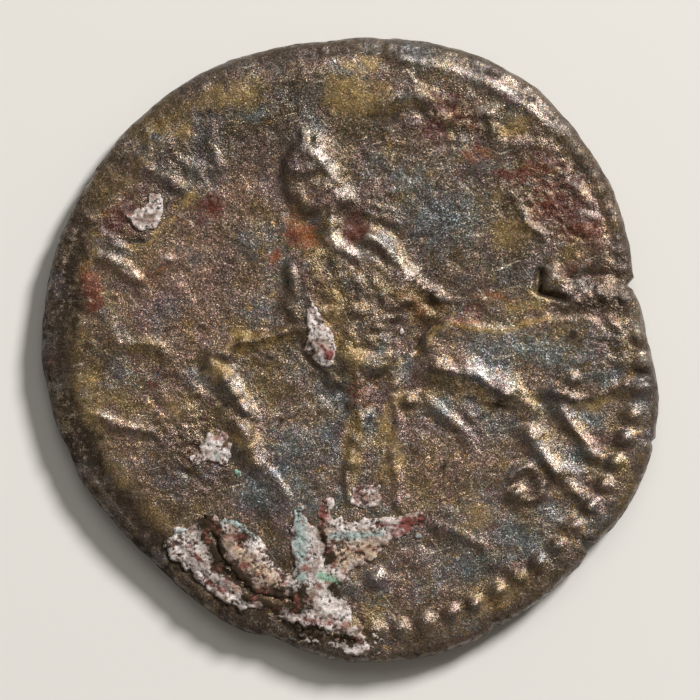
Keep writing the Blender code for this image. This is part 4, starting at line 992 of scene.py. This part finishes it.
west, south, east, north = CRUST_BOX
columns, rows = round((east - west) / CRUST_CELL), round((north - south) / CRUST_CELL)
slab = bmesh.new()
bmesh.ops.create_grid(slab, x_segments=columns, y_segments=rows, size=0.5)
corners = np.array([vert.co[:] for vert in slab.verts])
crust_x = west + (corners[:, 0] + 0.5) * (east - west)
crust_y = south + (corners[:, 1] + 0.5) * (north - south)
torn_x = crust_x + 0.1 * clouds(crust_x, crust_y, 0.5, 201, 4)
torn_y = crust_y + 0.1 * clouds(crust_x, crust_y, 0.5, 211, 4)
share = crust_share(torn_x, torn_y)
crumbling = crust_lumps(crust_x, crust_y)
crust_inset = edge_radius(np.arctan2(crust_y, crust_x)) - np.hypot(crust_x, crust_y)
kept = np.where((crust_inset > CRUST_MARGIN) & (share > 0.02), share + CRUST_TEAR * crumbling, 0)
crest = smooth_step(kept, CRUST_EDGE, CRUST_EDGE + 0.25)
edge_fall = 0.5 * np.clip(1 - crust_inset / EDGE_ROUND, 0, 1) ** 2
ground = reverse_height(crust_x, crust_y, np.maximum(crust_inset, 0)) - edge_fall
crust_top = ground - CRUST_SUNK + CRUST_THICKNESS * crest * (0.5 + 0.5 * np.clip(share, 0, 1.4))
crust_top += crest * crumbling
for vert, x, y, z in zip(slab.verts, crust_x, crust_y, crust_top):
    vert.co = (x, y, z)
uncovered = [face for face in slab.faces if min(kept[vert.index] for vert in face.verts) < CRUST_EDGE]
bmesh.ops.delete(slab, geom=uncovered, context="FACES")
underside = bmesh.ops.extrude_face_region(slab, geom=slab.faces[:])["geom"]
underside = [part for part in underside if isinstance(part, bmesh.types.BMVert)]
bmesh.ops.translate(slab, verts=underside, vec=(0, 0, -CRUST_THICKNESS - CRUST_DEPTH))
bmesh.ops.recalc_face_normals(slab, faces=slab.faces)
crust_mesh = bpy.data.meshes.new("lime_crust")
slab.to_mesh(crust_mesh)
slab.free()
flakes = np.empty(len(crust_mesh.vertices) * 3, np.float32)
crust_mesh.vertices.foreach_get("co", flakes)
flakes = flakes.reshape(-1, 3).astype(float)
crust_mesh.vertices.foreach_set("co", settle(flakes).ravel())
crust_mesh.update()
crust_mesh.shade_smooth()

# Where the crust is coloured: the attribute, half the width, the strength and the path
CRUST_TINTS = [
    ("turquoise", 0.5, 1.4, [(-4.45, -5.8), (-3.9, -5.95), (-3.3, -6.3)]),
    ("turquoise", 0.25, 1.4, [(-2.8, -6.9), (-2.4, -7.4), (-2.0, -7.65)]),
    ("turquoise", 0.6, 1.3, [(-1.75, -5.6), (-1.7, -7.8)]),
    ("turquoise", 0.35, 1.1, [(-0.7, -6.45), (1.1, -6.4)]),
    ("turquoise", 0.2, 1.3, [(2.3, -6.4), (2.6, -6.5)]),
    ("turquoise", 0.18, 0.9, [(-6.2, -6.4), (-5.6, -6.1)]),
    ("turquoise", 0.25, 1.0, [(-4.7, -3.5), (-4.6, -3.8)]),
    ("turquoise", 0.3, 1.3, [(-3.9, -4.1), (-3.9, -4.5)]),
    ("mint", 0.35, 1.4, [(-1.0, -7.85), (-0.6, -8.0), (-0.3, -8.15)]),
    ("mint", 0.3, 1.0, [(-3.9, -4.1), (-3.9, -4.5)]),
    ("rust", 0.45, 1.2, [(-0.95, -5.3), (-0.9, -6.4)]), ("rust", 0.75, 1.4, [(2.1, -6.0), (2.7, -5.9)]),
    ("loam", 0.85, 1.5, [(-5.1, -5.9), (-4.75, -6.6), (-4.5, -7.3), (-4.0, -7.8), (-3.4, -8.4)]),
    ("loam", 0.9, 1.5, [(-3.4, -8.4), (-2.6, -8.7), (-1.7, -8.8)]),
    ("loam", 0.6, 1.4, [(-0.5, -8.2), (0.1, -8.6)]),
    ("loam", 0.6, 1.1, [(-3.0, -9.4), (-1.2, -9.9), (0.2, -10.1)]),
    ("loam", 0.4, 1.1, [(-1.0, -6.2), (-0.6, -7.4)]),
    ("loam", 0.4, 1.0, [(-6.2, -7.5), (-5.0, -8.6), (-3.6, -9.3)]),
    ("loam", 0.5, 1.0, [(-4.4, -6.4), (-3.6, -6.5)]),
    ("rust", 0.2, 0.9, [(-5.5, -7.0), (-5.0, -7.5)]), ("rust", 0.25, 0.9, [(-4.9, -8.1), (-4.4, -8.4)]),
    ("rust", 0.25, 0.9, [(-3.7, -8.4), (-2.8, -8.8), (-1.6, -8.9)]),
    ("rust", 0.3, 0.8, [(-1.6, -9.4), (-0.6, -9.5)]),
    ("rust", 0.22, 0.8, [(1.0, -6.0), (1.6, -6.1)]), ("rust", 0.45, 0.95, [(-1.1, 0.3), (-0.7, 0.0)]),
    ("rust", 0.25, 0.9, [(-7.4, 4.65), (-6.9, 4.6)]), ("rust", 0.2, 0.7, [(-5.5, -3.5), (-5.2, -3.5)]),
    ("beige", 0.7, 1.1, [(-4.4, -6.6), (-3.4, -7.5), (-2.6, -8.2)]),
    ("beige", 0.9, 1.1, [(-0.3, -7.2), (0.8, -6.9)]),
]
# The depth in mm at which a crease counts in full
CREASE_DEPTH = 0.05
store(crust_mesh, "creases", -crust_lumps(flakes[:, 0], flakes[:, 1]) / CREASE_DEPTH)
for name in ("beige", "turquoise", "mint", "rust", "loam"):
    lines = [ridge(flakes[:, 0], flakes[:, 1], half_width, half_width, strength, way)
             for tint, half_width, strength, way in CRUST_TINTS if tint == name]
    store(crust_mesh, name, highest(lines))

# Burial lime: a dull chalky deposit, pinkish white, stained beige, turquoise and rust red and
# speckled with dark earth in its creases. Its grains are drawn coarser than real ones, to show.
LIME_GRAIN_SIZE = 0.12
LIME_GRAIN_DEPTH = 0.05
LIME_BLOT_SIZE = 0.5
lime = bpy.data.materials.new("burial_lime")
lime.use_nodes = True
tree = lime.node_tree
shader = tree.nodes["Principled BSDF"]
place = add(tree, "TexCoord")["Object"]
grain = add(tree, "TexNoise", {"Vector": place, "Scale": MM / LIME_GRAIN_SIZE, "Detail": 4.0,
                               "Roughness": 0.7})
blot = add(tree, "TexNoise", {"Vector": place, "Scale": MM / LIME_BLOT_SIZE, "Detail": 5.0,
                              "Roughness": 0.7})
shares = add(tree, "SeparateColor", {0: blot["Color"]})
pinker = add(tree, "MapRange", {0: shares["Red"], 1: 0.4, 2: 0.6})[0]
base = add(tree, "Mix", {0: pinker, 6: linear("#8a7568"), 7: linear("#e2dad5")}, data_type="RGBA")[2]
# Each colour: its attribute, how ragged it is, its strength and the colour
CRUST_COLOURS = [("beige", 5.0, 0.92, "#b29a80"), ("turquoise", 2.5, 0.92, "#91a09b"),
                 ("mint", 3.0, 0.92, "#7fa088"), ("rust", 5.0, 0.94, "#6b2b24"),
                 ("loam", 4.0, 1.0, "#2c2010")]
for name, tear, strength, colour in CRUST_COLOURS:
    amount = add(tree, "Attribute", attribute_name=name)["Fac"]
    centred = add(tree, "Math", {0: blot["Fac"], 1: 0.5}, operation="SUBTRACT")[0]
    torn = add(tree, "Math", {0: centred, 1: tear, 2: amount}, operation="MULTIPLY_ADD")[0]
    mask = add(tree, "MapRange", {0: torn, 1: 0.4, 2: 0.9, 3: 0.0, 4: strength})[0]
    base = add(tree, "Mix", {0: mask, 6: base, 7: linear(colour)}, data_type="RGBA")[2]
rusty = add(tree, "MapRange", {0: shares["Green"], 1: 0.54, 2: 0.62, 3: 0.0, 4: 0.8})[0]
base = add(tree, "Mix", {0: rusty, 6: base, 7: linear("#7d4a41")}, data_type="RGBA")[2]
# Dark earth sits in the creases
creased = add(tree, "Attribute", attribute_name="creases")["Fac"]
earth = add(tree, "Math", {0: shares["Blue"], 1: grain["Fac"]}, operation="ADD")[0]
earth = add(tree, "Math", {0: creased, 1: -0.1, 2: earth}, operation="MULTIPLY_ADD")[0]
earth = add(tree, "MapRange", {0: earth, 1: 1.0, 2: 0.87, 3: 0.0, 4: 0.9})[0]
base = add(tree, "Mix", {0: earth, 6: base, 7: linear("#38281d")}, data_type="RGBA")[2]
speckle = add(tree, "MapRange", {0: grain["Fac"], 1: 0.35, 2: 0.65, 3: 0.6, 4: 1.2})[0]
base = add(tree, "Mix", {0: 1.0, 6: base, 7: speckle}, data_type="RGBA", blend_type="MULTIPLY")[2]
bump = add(tree, "Bump", {"Strength": 0.8, "Distance": LIME_GRAIN_DEPTH / MM, "Height": grain["Fac"]})[0]
tree.links.new(base, shader.inputs["Base Color"])
tree.links.new(bump, shader.inputs["Normal"])
shader.inputs["Roughness"].default_value = 0.85
shader.inputs["Specular IOR Level"].default_value = 0.2
crust_mesh.materials.append(lime)
crust = bpy.data.objects.new("lime_crust", crust_mesh)
bpy.context.scene.collection.objects.link(crust)
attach(crust, "root")

# The floor is a plain pale sheet of matt paper under the coin. It is only a stage for it, and
# the coin's worn rim rests on it.
FLOOR_SIZE = 1.0
sheet = bmesh.new()
bmesh.ops.create_grid(sheet, x_segments=1, y_segments=1, size=FLOOR_SIZE / 2)
bmesh.ops.translate(sheet, verts=sheet.verts, vec=(0, 0, low[2]))
floor_mesh = bpy.data.meshes.new("floor")
sheet.to_mesh(floor_mesh)
sheet.free()
floor = bpy.data.objects.new("floor", floor_mesh)
bpy.context.scene.collection.objects.link(floor)
paper = bpy.data.materials.new("matte_paper")
paper.use_nodes = True
paper_shader = paper.node_tree.nodes["Principled BSDF"]
paper_shader.inputs["Base Color"].default_value = linear("#cfccc6")
paper_shader.inputs["Roughness"].default_value = 0.9
floor_mesh.materials.append(paper)

# The light is one soft lamp from the upper right, a weak fill above the coin's top edge, and a
# pale surround. Distances and sizes are in metres, and the power is in watts.
LAMP_DISTANCE = 0.6
LAMP_SIZE = 0.15
LAMP_POWER = 5.4


def lamp(name, azimuth, elevation, size, power):
    """A round soft lamp that points at the coin; azimuth runs anticlockwise from +X."""
    light = bpy.data.lights.new(name, "AREA")
    light.shape = "DISK"
    light.size = size
    light.energy = power
    holder = bpy.data.objects.new(name, light)
    bpy.context.scene.collection.objects.link(holder)
    a, e = math.radians(azimuth), math.radians(elevation)
    way = (math.cos(a) * math.cos(e), math.sin(a) * math.cos(e), math.sin(e))
    holder.location = [LAMP_DISTANCE * v for v in way]
    holder.rotation_euler = holder.location.to_track_quat("Z", "Y").to_euler()


lamp("key_lamp", 48.0, 38.0, LAMP_SIZE, LAMP_POWER)
lamp("fill_lamp", 90.0, 60.0, 2 * LAMP_SIZE, 0.1 * LAMP_POWER)
world = bpy.data.worlds.new("studio")
bpy.context.scene.world = world
world.use_nodes = True
world.node_tree.nodes["Background"].inputs["Color"].default_value = linear("#ebe6dd")
world.node_tree.nodes["Background"].inputs["Strength"].default_value = 0.25
bpy.context.scene.view_settings.view_transform = "Standard"

# The camera looks straight down through a long lens, so that the coin's side doesn't show. The
# photograph's pixel is this wide on the coin's face.
PIXEL = 0.0352 / MM
FRAME_PIXELS = 700
LENS = 400.0
SENSOR = 36.0
camera = bpy.data.objects.new("camera", bpy.data.cameras.new("camera"))
camera.data.lens = LENS
camera.data.sensor_width = SENSOR
camera.data.clip_start = 0.001
camera.location = (0, 0, UPPER_FIELD / 2 / MM + PIXEL * FRAME_PIXELS * LENS / SENSOR)
bpy.context.scene.collection.objects.link(camera)
bpy.context.scene.camera = camera
